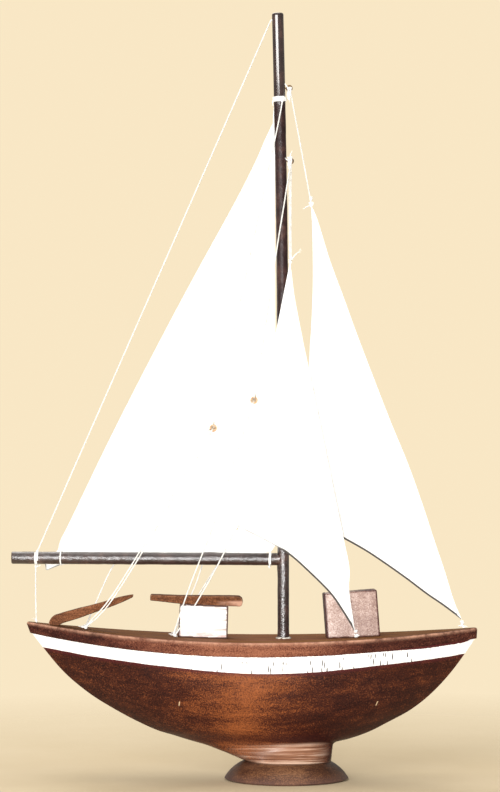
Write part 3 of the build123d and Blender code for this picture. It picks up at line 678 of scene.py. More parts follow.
def cabin_material():
    """White paint on the cabin, thin at its foot and on its edges, with painted shade as dark lines along its
    edges and aft end.
    """
    n = Nodes("cabin_paint")
    x, z, wear = n.axis("X"), n.axis("Z"), n.attribute("wear")
    low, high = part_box("cabin_block")
    grain = n.noise(1.0, 6.0, 0.68, (26, 26, 620), 0.5)
    colour = n.ramp(grain, (0.34, 0.42, 0.49), ((0.36, 0.25, 0.20), (0.68, 0.63, 0.59), (0.83, 0.82, 0.80)))
    thin = n.larger(n.below(z, low.z + 0.002, low.z + 0.011) * 0.75, wear * 0.95)
    worn = thin * n.band(n.noise(1.0, 5.0, 0.7, (60, 60, 300)), 0.40, 0.60)
    colour = n.mix(worn, colour, (0.40, 0.17, 0.12))
    lines = n.band(n.noise(1.0, 4.0, 0.7, (30, 60, 760)), 0.53, 0.60)
    lines = lines * n.band(x, high.x - 0.026, high.x - 0.004)
    colour = n.mix(lines * 0.75, colour, (0.26, 0.16, 0.12))
    # painted shade: dark lines along the cabin's edges and its aft end
    colour = n.mix(n.band(wear, 0.2, 0.6), colour, (0.08, 0.035, 0.025))
    aft = n.band(x, low.x + 0.0022, low.x + 0.0012) * n.band(n.noise(150.0, 3.0), 0.30, 0.48)
    edges = n.larger(aft, outline(n, "cabin_block", 0.0024))
    colour = n.mix(edges * 0.92, colour, (0.075, 0.032, 0.024))
    return n.finish(Base_Color=colour, Roughness=0.62, Coat_Weight=0.1,
                    Normal=n.bump(grain, 0.0004, 0.6, n.bump(n.noise(120.0, 3.0), 0.0006, 0.3)))


def metal(name, colour, dull, rough):
    n = Nodes(name)
    share = n.band(n.noise(700.0, 4.0, 0.6), 0.42, 0.66)
    return n.finish(Base_Color=n.mix(share, colour, dull), Metallic=1.0 - share * 0.5,
                    Roughness=n.wander(900.0, 3.0, rough, rough + 0.25),
                    Normal=n.bump(n.noise(1500.0, 2.0), 0.0001, 0.3))


def glue_material():
    n = Nodes("glue")
    colour = n.ramp(n.noise(330.0, 3.0), (0.42, 0.56), ((0.10, 0.05, 0.03), (0.80, 0.76, 0.68)))
    return n.finish(Base_Color=colour, Roughness=0.35, Coat_Weight=0.3,
                    Normal=n.bump(n.noise(700.0, 3.0), 0.0004, 0.6))


HULL_STAIN = hull_material()
FOOT_STAIN = foot_material()
# the deck board's stain is painted lighter amidships and darker at its ends, its top face is painted lighter,
# and its rounded rim is paler worn wood with a painted highlight
DECK_STAIN = wood("deck_stain", ((0.022, 0.0058, 0.0046), (0.098, 0.0290, 0.0175), (0.275, 0.108, 0.060)),
                  (12, 130, 130), 0.30, 30.0, (0.72, 0.88), (0.50, 0.27, 0.18), 0.1, ends=(0.075,),
                  detail=board_top_painted_light)
TRIM_STAIN = wood("trim_stain", ((0.036, 0.0115, 0.0055), (0.115, 0.041, 0.0165), (0.28, 0.108, 0.047)),
                  (18, 260, 260), 0.12, 60.0, (0.55, 0.70), (0.38, 0.21, 0.13), 0.06, detail=plank_wear_and_highlight)
# the bow block's dark edge colour and its detail paint shade as dark lines along its edges
WORN_STAIN = wood("worn_stain", ((0.19, 0.108, 0.086), (0.36, 0.243, 0.203), (0.61, 0.49, 0.44)),
                  (150, 150, 60), 0.25, 230.0, (0.42, 0.62), (0.10, 0.026, 0.018), 0.3, 0.1,
                  ends=(0.035, 0.036, 0.0, 0.022), detail=block_edge_shade)
CABIN_PAINT = cabin_material()
LACQUER = lacquer_material()
SAILCLOTH = sailcloth_material()
STRING_COTTON = string_material("string", (0.82, 0.80, 0.76), (0.90, 0.89, 0.86), (0.95, 0.95, 0.93))
# the lines are the same twine as the knots, given a darker tone that stands in for their shade
STRING_LINE = string_material("string_line", (0.62, 0.60, 0.55), (0.78, 0.77, 0.73), (0.90, 0.89, 0.86))
STRING_TAN = string_material("string_tan", (0.22, 0.13, 0.07), (0.42, 0.31, 0.20), (0.62, 0.55, 0.42))
BRASS_PALE = metal("brass_pale", (0.60, 0.38, 0.22), (0.42, 0.26, 0.15), 0.5)
BRASS = metal("brass", (0.19, 0.10, 0.045), (0.05, 0.026, 0.014), 0.36)
STEEL = metal("steel", (0.62, 0.62, 0.60), (0.35, 0.34, 0.33), 0.3)
GLUE = glue_material()


# ---------------------------------------------------------------- placing pieces
def dress(thing, material):
    """Gives a new piece its material."""
    thing.data.materials.clear()
    thing.data.materials.append(material)


def dress_node(name, material):
    """Gives a CAD node that is shown as it is its material."""
    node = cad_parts[name]
    if not node.material_slots:
        node.data.materials.append(None)
    for place in node.material_slots:
        place.link = "OBJECT"
        place.material = material


def stand_in(thing, material, slot, body, *nodes):
    """Finishes a piece that is shown in place of CAD nodes and rides on one body."""
    dress(thing, material)
    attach(thing, body)
    if nodes:
        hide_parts(*nodes)


def skin(starts, count, half):
    """Faces between rings that start at the given points, and across the first and the last ring. The
    second half of a ring mirrors the first, which has half faces across it."""
    faces = join_rings(starts, count)
    for start in (starts[0], starts[-1]):
        for k in range(half):
            ring = tuple(dict.fromkeys((start + k, start + k + 1, start + (count - k - 1) % count,
                                        start + (count - k) % count)))
            if len(ring) > 2:
                faces.append(ring if start == starts[-1] else ring[::-1])
    return faces


# ---------------------------------------------------------------- hull
HULL_COLUMNS = 240
HULL_ROWS = 84
HULL_TOP_Z = 110.0          # any height inside the board, to start from
HULL_TOP_ROUNDS = 12        # of moving the top to the board's underside, which isn't level


def hull_point(angle, z):
    """Point of the hull's surface at a height. The angle runs round the outline from the bow."""
    aft, fore, half, lens = level_at(z)
    middle, length = (aft + fore) / 2, (fore - aft) / 2
    run = cos(angle)
    radius = (length ** 2 + half ** 2) / (2 * half)
    lens_y = sqrt(max(radius ** 2 - (run * length) ** 2, 0.0)) - (radius - half)
    oval_y = half * sqrt(max(1 - run ** 2, 0.0))
    y = lens * max(lens_y, 0.0) + (1 - lens) * oval_y
    return middle + run * length, copysign(y, sin(angle)) if 0 < run ** 2 < 1 else 0.0


def band_width(x):
    """How far the white band reaches below the board. It was painted freehand, widest amidships."""
    return 9.6 + 3.6 * exp(-((x + 5) / 75) ** 2) + 1.6 * smooth_step(60, 130, x)


def band_gap(x):
    """Bare strip between the board and the band."""
    return 0.15 + 2.0 * smooth_step(60, 125, x) * smooth_step(150, 140, x)


def build_hull():
    low_z = HULL_LEVELS[0][0] - 0.4
    points, band, band_top, rows = [], [], [], []
    for row in range(HULL_ROWS + 1):
        share = (row / HULL_ROWS) ** 1.25
        rows.append(len(points))
        for angle in angles(HULL_COLUMNS):
            top = HULL_TOP_Z
            for _ in range(HULL_TOP_ROUNDS):
                top = board_bottom_z(hull_point(angle, top)[0]) + 0.15
            z = low_z + share * (top - low_z)
            x, y = hull_point(angle, z)
            carve = 0.22 * lumps((x, y, z), 26.0) + 0.10 * lumps((x, y, z), 9.0, 3.0)
            carve *= (smooth_step(0, 6, abs(y)) * smooth_step(0.0, 0.06, 1 - share)
                      * smooth_step(0.0, 0.05, share))
            points.append((x, y + copysign(carve, y), z))
            band.append((z - (board_bottom_z(x) - band_width(x))) * MM)
            band_top.append((board_bottom_z(x) - band_gap(x) - z) * MM)
    hull = mesh_object("hull_body", points, skin(rows, HULL_COLUMNS, HULL_COLUMNS // 2), sharp=38)
    face_outwards(hull)
    set_values(hull, "band", band)
    set_values(hull, "band_top", band_top)
    stand_in(hull, HULL_STAIN, "hull_stain", "root", "hull")


# ---------------------------------------------------------------- deck board
BOARD_EDGE_R = 1.9          # rounding of the top edge
BOARD_LIP = 0.9             # height of the square lower lip
BOARD_FIRST_ROUND = 10      # row of the outline where the rounding starts


def board_outline(inset, tip_points=10, side_points=110):
    """Outline of the board, moved in by inset, anticlockwise from the bow tip, and how much of it is
    the side that it starts with."""
    aft, fore = STERN_X - STERN_REACH, BOW_X + BOW_REACH
    middle, length = (aft + fore) / 2, (fore - aft) / 2
    big = (length ** 2 + BOARD_HALF ** 2) / (2 * BOARD_HALF)
    drop = big - BOARD_HALF
    reach = sqrt((big - TIP_R) ** 2 - drop ** 2)
    lean = atan2(reach, drop)
    r_tip, r_side = TIP_R - inset, big - inset
    side = []
    for k in range(tip_points):
        a = (pi / 2 - lean) * k / tip_points
        side.append((middle + reach + r_tip * cos(a), r_tip * sin(a)))
    for k in range(side_points + 1):
        a = lean - 2 * lean * k / side_points
        side.append((middle + r_side * sin(a), r_side * cos(a) - drop))
    for k in range(tip_points):
        a = pi - (pi / 2 - lean) * (tip_points - 1 - k) / tip_points
        side.append((middle - reach + r_tip * cos(a), r_tip * sin(a)))
    side[-1] = (side[-1][0], 0.0)
    return side + [(x, -y) for x, y in reversed(side[1:-1])], len(side)


def board_rows():
    """The board's rings from its underside to its top: how far in, at which share of its height, and how
    much above that."""
    rows = [(BOARD_UNDERCUT + BOARD_LIP, 0.0, 0.0), (BOARD_UNDERCUT + 0.25, 0.0, 0.25),
            (BOARD_UNDERCUT, 0.0, BOARD_LIP)]
    for share in (k / 8 for k in range(1, 8)):
        rows.append((BOARD_UNDERCUT * (1 - share), share, BOARD_LIP * (1 - share) - BOARD_EDGE_R * share))
    for a in (pi / 2 * k / 6 for k in range(7)):
        rows.append((BOARD_EDGE_R * (1 - cos(a)), 1.0, BOARD_EDGE_R * (sin(a) - 1)))
    return [*rows, (BOARD_EDGE_R + 1.0, 1.0, 0.0)]


def build_deck_board():
    rows = board_rows()
    points, wear, top, starts = [], [], [], []
    for index, (inset, share, offset) in enumerate(rows):
        ring, half = board_outline(inset)
        starts.append(len(points))
        for x, y in ring:
            low, high = board_bottom_z(x), deck_z(x)
            z = low + share * (high - low) + offset
            dent = 0.16 * lumps((x, y, z), 14.0, 5.0) + 0.08 * lumps((x, y, z), 4.0, 2.0)
            fade = smooth_step(0, 3, abs(y))
            if index < BOARD_FIRST_ROUND:
                x += 0.85 * inset * smooth_step(100, 150, x)
            points.append((x, y + copysign(dent * fade, y), z + (0.5 * dent if index > 3 else 0.0)))
            top.append(float(index == len(rows) - 1))
            # the rounded rim is marked paler: worn wood brightened by a painted highlight
            up = index - BOARD_FIRST_ROUND
            wear.append(max(0.0, 1 - abs(up - 2.6) / 4.2) if up >= -1 else 0.0)
    board = mesh_object("deck_board_worn", points, skin(starts, len(ring), half - 1), sharp=50)
    face_outwards(board)
    set_values(board, "wear", wear)
    set_values(board, "top", top)
    stand_in(board, DECK_STAIN, "deck_stain", "root", "deck_board")


# ---------------------------------------------------------------- blocks, plank and tiller
def worn_copy(node, material, slot, voxel, rounding, wear_reach=2, sharp=(0.10, 0.30), dents=0.10):
    """Copy of a wooden CAD piece with hand-worked faces, its edges marked for worn wood and painted light,
    and its downward faces marked for painted shade.
    """
    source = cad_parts[node].data.copy()
    thing = bpy.data.objects.new(node + "_worn", source)
    bpy.context.scene.collection.objects.link(thing)
    remesh = thing.modifiers.new("remesh", "REMESH")
    remesh.mode = "VOXEL"
    remesh.voxel_size = voxel * MM
    soften = thing.modifiers.new("soften", "SMOOTH")
    soften.factor = 0.5
    soften.iterations = rounding
    bpy.context.view_layer.update()
    graph = bpy.context.evaluated_depsgraph_get()
    mesh = bpy.data.meshes.new_from_object(thing.evaluated_get(graph))
    thing.modifiers.clear()
    thing.data = mesh
    bpy.data.meshes.remove(source)
    mesh.shade_smooth()
    work = bmesh.new()
    work.from_mesh(mesh)
    work.normal_update()
    bend = []
    for vertex in work.verts:
        turn = sum(vertex.normal.dot((e.other_vert(vertex).co - vertex.co).normalized())
                   for e in vertex.link_edges)
        bend.append(max(0.0, -turn / max(1, len(vertex.link_edges))))
    for _ in range(wear_reach):
        bend = [max(bend[v.index], 0.86 * max(bend[e.other_vert(v).index] for e in v.link_edges))
                for v in work.verts]
    for vertex in work.verts:
        place = vertex.co / MM
        vertex.co += vertex.normal * (dents * MM * (lumps(place, 7.0, 1.0) + 0.5 * lumps(place, 2.6, 4.0)))
    work.to_mesh(mesh)
    work.free()
    set_values(thing, "wear", [smooth_step(*sharp, b) for b in bend])
    # painted shade: faces that turn downward are marked to be painted dark
    set_values(thing, "under", [smooth_step(0.12, 0.5, -v.normal.z) for v in mesh.vertices])
    stand_in(thing, material, slot, "root", node)


# ---------------------------------------------------------------- spars
SPAR_SIDES = 40
MAST_STEPS = 330
MAST_ROUNDING_H = 1.3       # height of its rounded top
MAST_ROUNDING = (0.12, 0.36, 0.72, 1.25)    # how much thinner its last four rings are
BOOM_ROUNDING = (0.8, 0.3, 0.05)            # and the boom's first three
BOOM_STEP = 1.4
BOOM_LAST_X = -8.6          # where its saddle's rings begin
SADDLE_R = MAST_R + 0.45
SADDLE_RINGS = (1.0, 0.92, 0.8, 0.6, 0.35, 0.12)        # their radius, as a share of the boom's


def spar_ring(centre, side, up, radius_at):
    """Ring of points round a spar. radius_at gives the radius in a direction."""
    outs = [cos(a) * side + sin(a) * up for a in angles(SPAR_SIDES)]
    return [centre + out * radius_at(out) for out in outs]


def mast_runs(point, out):
    """Runs of lacquer: one under the staysail's head, others near the deck and the boom."""
    near_drip = 0.55 * exp(-((point.z - 264) / 4.5) ** 2) * max(0.0, out.x) ** 2
    at_boom = 0.35 * exp(-((point.z - 170) / 6.0) ** 2) * max(0.0, -out.x)
    at_deck = 0.25 * smooth_step(120, 112, point.z)
    return near_drip + at_boom + at_deck


def build_mast():
    shaft = MAST_TOP_Z - MAST_ROUNDING_H - MAST_LOW_Z
    heights = [MAST_LOW_Z + shaft * k / MAST_STEPS for k in range(MAST_STEPS + 1)]
    heights += [MAST_TOP_Z - drop for drop in (0.9, 0.5, 0.2, 0.0)]
    rounding = [0.0] * (len(heights) - len(MAST_ROUNDING)) + list(MAST_ROUNDING)
    rings = []
    for (point, side, up), thinner in zip(frames_along([(mast_x(z), 0, z) for z in heights]), rounding):
        rough = 1.0 - 0.97 * smooth_step(*LACQUER_END_Z, point.z)

        def radius_at(out):
            place = point + out * MAST_R
            r = MAST_R + rough * (0.13 * lumps(place, 11.0, 2.0) + 0.06 * lumps(place, 3.5, 2.0))
            return (r + mast_runs(point, out)) * (1 - thinner / MAST_R)

        rings.append(spar_ring(point, side, up, radius_at))
    stand_in(Shape().rings(rings).add("mast_lacquered"), LACQUER, "spar_lacquer", "root", "mast")


def build_boom():
    """The boom, with a run of lacquer, from its free end to its saddle round the mast."""
    start_x = BOOM_END[0]
    stations = [start_x, start_x + 0.25, start_x + 0.7]
    stations += [start_x + 1.2 + k * BOOM_STEP for k in range(150)]
    stations = [x for x in stations if x < BOOM_LAST_X - 0.4] + [BOOM_LAST_X]
    rounding = list(BOOM_ROUNDING) + [0.0] * (len(stations) - len(BOOM_ROUNDING))
    rings = []
    for x, thinner in zip(stations, rounding):
        centre = Vector((x, 0, boom_z(x)))

        def radius_at(out):
            place = centre + out * BOOM_R
            r = BOOM_R + 0.16 * lumps(place, 10.0, 7.0) + 0.08 * lumps(place, 3.2, 8.0) - thinner
            return r + 0.55 * exp(-((x + 60) / 7.0) ** 2) * max(0.0, out.z) ** 2

        rings.append(spar_ring(centre, Vector((0, 1, 0)), Vector((0, 0, 1)), radius_at))
    end = Vector((start_x, 0, boom_z(start_x)))
    rings.insert(0, [end + (p - end) * 0.5 for p in rings[0]])
    for share in SADDLE_RINGS:
        ring = []
        for a in angles(SPAR_SIDES):
            y, rise = BOOM_R * share * cos(a), BOOM_R * share * sin(a)
            x = min(MAST_X - sqrt(max(SADDLE_R ** 2 - y * y, 0.0)), BOOM_HORN_X - 0.3)
            ring.append(Vector((x, y, boom_z(x) + rise)))
        rings.append(ring)
    boom = Shape().rings(rings).add("boom_lacquered")
    boom.data.set_sharp_from_angle(angle=radians(50))
    stand_in(boom, LACQUER, "spar_lacquer", "boom", "boom")


# ---------------------------------------------------------------- sails
HEM = 3.6
OUTLINE_STEP = 2.2
HOLE_SIDES = 16
RIM_SHADE_DEPTH = 1.8           # how far the painted shade on a rim reaches in


def curve(points, steps):
    """Smooth line through points, by Catmull-Rom pieces."""
    if len(points) == 2:
        return points
    points = [Vector(p) for p in points]
    padded = [points[0] * 2 - points[1], *points, points[-1] * 2 - points[-2]]
    out = []
    for a, b, c, d in zip(padded, padded[1:], padded[2:], padded[3:]):
        for k in range(steps):
            t = k / steps
            out.append(0.5 * (2 * b + (c - a) * t + (2 * a - 5 * b + 4 * c - d) * t ** 2
                              + (3 * b - a - 3 * c + d) * t ** 3))
    return [*out, points[-1]]


def segment_distance(point, a, b):
    run = b - a
    share = max(0.0, min(1.0, (point - a).dot(run) / max(run.length_squared, 1e-9)))
    return (point - a - run * share).length


class Sail:
    """Sail cut from an outline in the boat's side view. y_of gives the height of its cloth off that
    view's plane, and thin_rim how much of the rim of painted shade shows at a place."""

    def __init__(self, name, edges, y_of, normal, holes=(), shade_edges=(), thin_rim=lambda x: 1.0):
        self.name, self.y_of, self.normal, self.holes, self.thin_rim = name, y_of, normal, holes, thin_rim
        self.outline, self.shaded_rim = [], []
        for label, line in edges:
            part = [p.xz for p in even([(x, 0, z) for x, z in line], OUTLINE_STEP)[:-1]]
            self.outline.extend(part)
            self.shaded_rim.extend([float(label in shade_edges)] * len(part))
        turned = sum(a.cross(b) for a, b in zip(self.outline, self.outline[1:] + self.outline[:1]))
        if turned < 0:
            self.outline.reverse()
            self.shaded_rim.reverse()
            self.shaded_rim = self.shaded_rim[1:] + self.shaded_rim[:1]

    def inward(self, distance):
        """The outline moved in, without the points that come too near another edge."""
        count = len(self.outline)
        kept = []
        for i, point in enumerate(self.outline):
            run = self.outline[(i + 1) % count] - self.outline[i - 1]
            moved = point + Vector((-run.y, run.x)).normalized() * distance
            if self.depth(moved) > distance * 0.96:
                kept.append((moved, run.normalized()))
        return kept

    def depth(self, point):
        """Distance to the nearest edge, or less than 0 outside the outline."""
        count = len(self.outline)
        nearest, inside = 1e9, False
        for i in range(count):
            a, b = self.outline[i], self.outline[(i + 1) % count]
            if abs(a.x - point.x) < nearest + 3 or abs(a.y - point.y) < nearest + 3:
                nearest = min(nearest, segment_distance(point, a, b))
            if (a.y > point.y) != (b.y > point.y):
                if point.x < (b.x - a.x) * (point.y - a.y) / (b.y - a.y) + a.x:
                    inside = not inside
        return nearest if inside else -nearest

    def surface(self, point):
        """Middle of the cloth at a point of the side view."""
        return Vector((point.x, self.y_of(point.x, point.y), point.y))

    def clear_of_holes(self, place, share, margin):
        return all((place - Vector(h[:2])).length > h[2] * share + margin for h in self.holes)

    def cut(self, grid):
        """Points and faces of the cloth in the side view: its rim, holes, hem and a loose grid."""
        points = list(self.outline)
        loops = [list(range(len(points)))]
        for x, z, radius in self.holes:
            start = len(points)
            points += [Vector((x + radius * cos(a), z + radius * sin(a)))
                       for a in angles(HOLE_SIDES)]
            loops.append(list(range(start, start + HOLE_SIDES)))
        for distance in (0.55, 1.15, 1.75, HEM - 0.45, HEM + 0.05, HEM + 2.6):
            points += [p for p, _ in self.inward(distance)]
        low, high = self.corners()
        row = 0
        z = low.y
        while z < high.y:
            x = low.x + (grid / 2 if row % 2 else 0.0)
            while x < high.x:
                place = Vector((x + draw.uniform(-0.4, 0.4), z + draw.uniform(-0.4, 0.4)))
                if self.clear_of_holes(place, 1.0, 1.5) and self.depth(place) > HEM + grid * 0.9:
                    points.append(place)
                x += grid
            z += grid * 0.87
            row += 1
        edges = [(loop[i], loop[(i + 1) % len(loop)]) for loop in loops for i in range(len(loop))]
        flat, _, faces = geometry.delaunay_2d_cdt(points, edges, [], 0, 1e-5)[:3]
        faces = [f for f in faces if self.keeps(sum((flat[i] for i in f), Vector((0, 0))) / 3)]
        used = sorted({i for f in faces for i in f})
        index = {old: new for new, old in enumerate(used)}
        return [flat[i] for i in used], [tuple(index[i] for i in f) for f in faces]

    def corners(self):
        """Lowest and highest corner of the outline."""
        return [Vector((pick(p.x for p in self.outline), pick(p.y for p in self.outline)))
                for pick in (min, max)]

    def build(self, grid):
        """The cloth, with two faces and a rim. The hem is thicker."""
        flat, faces = self.cut(grid)
        depths = [self.depth(p) for p in flat]
        edge = [self.edge_share(p, d) for p, d in zip(flat, depths)]
        front, back = [], []
        for place, depth in zip(flat, depths):
            fold = 1.0 - smooth_step(HEM - 0.45, HEM + 0.05, depth)
            half = CLOTH * (0.5 + 0.42 * fold) * (0.72 + 0.28 * smooth_step(0, 0.5, depth))
            middle = self.surface(place)
            front.append(middle - self.normal * half)
            back.append(middle + self.normal * half)
        count = len(flat)
        runs = [run for face in faces for run in zip(face, face[1:] + face[:1])]
        met = set(runs)
        all_faces = faces + [tuple(count + i for i in reversed(f)) for f in faces]
        all_faces += [(b, a, count + a, count + b) for a, b in runs if (b, a) not in met]
        sail = mesh_object(self.name, front + back, all_faces, sharp=60)
        face_outwards(sail)
        set_values(sail, "edge", edge + edge)
        low, high = self.corners()
        self.size = ((high.x - low.x) * MM, (high.y - low.y) * MM)
        self.area = sum(abs((flat[b] - flat[a]).cross(flat[c] - flat[a])) / 2 for a, b, c in faces) * MM * MM
        return sail

    def keeps(self, centre):
        return self.depth(centre) > 0 and self.clear_of_holes(centre, 0.97, 0.0)

    def edge_share(self, place, depth):
        """1 on the rim of painted shade along the cloth's lower edges, 0 elsewhere."""
        if depth > RIM_SHADE_DEPTH:
            return 0.0
        nearest = min(range(len(self.outline)), key=lambda i: (self.outline[i] - place).length_squared)
        share = self.thin_rim(place.x)
        return self.shaded_rim[nearest] * share * (1 - smooth_step(1.1 * share, 0.4 + 1.3 * share, depth))

    def stitches(self, inset=HEM - 0.9, length=1.7, gap=1.0):
        """Running stitch round the hem, on both faces."""
        shape = Shape()
        line = self.inward(inset)
        at = 0.0
        for (a, run), (b, _) in zip(line, line[1:]):
            hop = (b - a).length
            if hop > 6:
                at = 0.0
                continue
            while at < hop:
                middle = a.lerp(b, at / hop)
                for side in (-1, 1):
                    if side == 1 and draw.random() < 0.08:
                        continue
                    path = [self.surface(middle + run * length * share)
                            + self.normal * side * (CLOTH * 0.92 + lift)
                            for share, lift in ((-0.5, -0.12), (-0.25, 0.06), (0.25, 0.06), (0.5, -0.12))]
                    shape.tube(path, 0.13, 5)
                at += length + gap
            at -= hop
        return shape.add(self.name + "_stitches")


def crease(x, z, centre, spokes, reach, depth, turn=0.0):
    """Small creases that fan out from a place where the cloth is tied."""
    dx, dz = x - centre[0], z - centre[1]
    away = hypot(dx, dz)
    if away < 1e-6:
        return 0.0
    angle = atan2(dz, dx)
    return depth * cos(spokes * angle + turn) * smooth_step(0.0, 6.0, away) * exp(-away / reach)


def finish_sail(sail, body, node, grid):
    cloth = sail.build(grid)
    thread = sail.stitches()
    stand_in(cloth, SAILCLOTH, "sailcloth", body, node)
    stand_in(thread, STRING_COTTON, "string", body)


def mainsail_y(x, z):
    high = smooth_step(190, 330, z) * smooth_step(523, 420, z)
    middle = smooth_step(-8, -30, x)
    clear = min(1.0, min(hypot(x - e[0], z - e[1]) for e in (EYELET_AFT, EYELET_FORE)) / 45.0)
    belly = 1.9 * high * middle * clear ** 2
    waves = 0.35 * lumps((x, 0, z), 46.0, 9.0) * smooth_step(180, 230, z) * clear
    folds = sum(crease(x, z, e, 5, 16.0, 0.16, 0.7) for e in (EYELET_AFT, EYELET_FORE))
    folds += crease(x, z, (-9, 521), 9, 22.0, 0.22)
    return MAINSAIL_Y + belly + waves + folds


def build_mainsail():
    foot = [(-179.6, 170.3), (-158.8, 171.2), (-100.0, 172.6), (-40.0, 175.4), (-12.4, 180.4)]
    leech = [(-10.2, 523.6), (-17.3, 508.8), (-24.1, 493.0), (-40.2, 461.1), (-75.2, 397.4), (-109.0, 333.6),
             (-141.3, 269.9), (-172.0, 206.1), (-180.0, 190.2), (-182.2, 182.2)]
    edges = [
        ("luff", [(-8.2, 186.0), (-9.1, 523.4)]),
        ("head", [(-9.1, 523.4), (-10.2, 523.6)]),
        ("leech", curve(leech, 14)),
        ("leech", [(-182.2, 182.2), (-192.8, 172.0)]),
        ("clew", [(-192.8, 172.0), (-191.9, 165.4), (-179.6, 170.3)]),
        ("foot", curve(foot, 16)),
        ("tack", [(-12.4, 180.4), (-8.2, 186.0)]),
    ]
    holes = [(*EYELET_AFT, EYELET_HOLE_R), (*EYELET_FORE, EYELET_HOLE_R), (-39.7, 199.6, 1.6)]
    sail = Sail("mainsail_cloth", edges, mainsail_y, Vector((0, 1, 0)), holes, ("clew",), lambda x: 0.6)
    finish_sail(sail, "boom", "mainsail", 5.0)


def plane_y(head, tack, clew):
    """Height function and normal of the plane through three corners."""
    a, b, c = Vector(head), Vector(tack), Vector(clew)
    normal = (b - a).cross(c - a).normalized()
    if normal.y < 0:
        normal = -normal

    def y_of(x, z):
        return a.y - (normal.x * (x - a.x) + normal.z * (z - a.z)) / normal.y

    return y_of, normal


def build_headsail(node, corners, luff, foot, leech, steps, belly, waves, fades, creases, **options):
    """Sail tied at its head, tack and clew. luff, foot and leech are the points between them. belly is
    its depth, waves the depth, size and seed of its unevenness, and fades where they set in along x
    and z."""
    flat_y, normal = plane_y(*corners)
    head, tack, clew = sides = [(corner[0], corner[2]) for corner in corners]

    def y_of(x, z):
        share = prod(smooth_step(*fade, value) for fade, value in zip(fades, (x, z, z)))
        folds = sum(crease(x, z, side, *values) for side, values in zip(sides, creases))
        return flat_y(x, z) + (belly + waves[0] * lumps((x, 0, z), *waves[1:])) * share + folds

    edges = [
        ("luff", curve([head, *luff, tack], steps)),
        ("foot", curve([tack, *foot, clew], steps)),
        ("leech", curve([clew, *leech, head], steps)),
    ]
    sail = Sail(node + "_cloth", edges, y_of, normal, shade_edges=("foot",), **options)
    finish_sail(sail, "root", node, 4.5)


def build_headsails():
    build_headsail(
        "staysail", [(3.0, -5.8, 411.7), (54.6, -15.0, 117.4), (-39.2, -8.6, 202.1)],
        luff=[(6.2, 386.0), (9.9, 365.5), (16.3, 333.6), (35.4, 240.0), (45.7, 190.2), (49.9, 168.0),
              (49.7, 150.0)],
        foot=[(44.5, 134.0), (34.5, 148.3), (18.1, 164.8), (3.4, 178.0), (-10.3, 187.2)],
        leech=[], steps=14, belly=-2.6, waves=(0.4, 40.0, 4.0), fades=((-39, 0), (150, 215), (405, 300)),
        creases=((9, 12.0, 0.25), (11, 11.0, 0.8), (8, 14.0, 0.4)),
        thin_rim=lambda x: 0.42 + 0.58 * smooth_step(-12, 2, x))
    build_headsail(
        "jib", [(19.8, 0.3, 457.2), (140.0, 0.0, 126.6), (13.4, 3.4, 207.7)],
        luff=[(24.9, 445.2), (34.8, 413.3), (46.6, 381.4), (58.2, 349.6), (82.8, 285.8), (96.0, 253.9),
              (107.6, 222.0), (118.0, 190.2), (126.0, 166.3), (133.4, 142.3)],
        foot=[(125.0, 137.8), (111.4, 147.1), (94.4, 159.9), (73.1, 174.8), (58.8, 183.8), (36.0, 196.2)],
        leech=[(16.2, 280.0), (18.4, 335.0), (20.1, 362.0), (21.3, 397.0), (20.9, 435.0)],
        steps=12, belly=3.2, waves=(0.5, 44.0, 6.0), fades=((13, 40), (135, 220), (450, 340)),
        creases=((9, 12.0, 0.25), (9, 12.0, 0.6), (8, 12.0, 0.4)))


# ---------------------------------------------------------------- strings
DECK_FORE_X, DECK_FORE_Y = -89.0, 13.0
DECK_AFT_X, DECK_AFT_Y = -160.0, 8.0
BOOM_SIDE_Y = 5.8
AFT_NEAR = (EYELET_AFT[0], NEAR_FACE_Y, EYELET_AFT[1])
AFT_FAR = (EYELET_AFT[0], FAR_FACE_Y, EYELET_AFT[1])
FORE_NEAR = (EYELET_FORE[0], NEAR_FACE_Y, EYELET_FORE[1])
FORE_FAR = (EYELET_FORE[0], FAR_FACE_Y, EYELET_FORE[1])

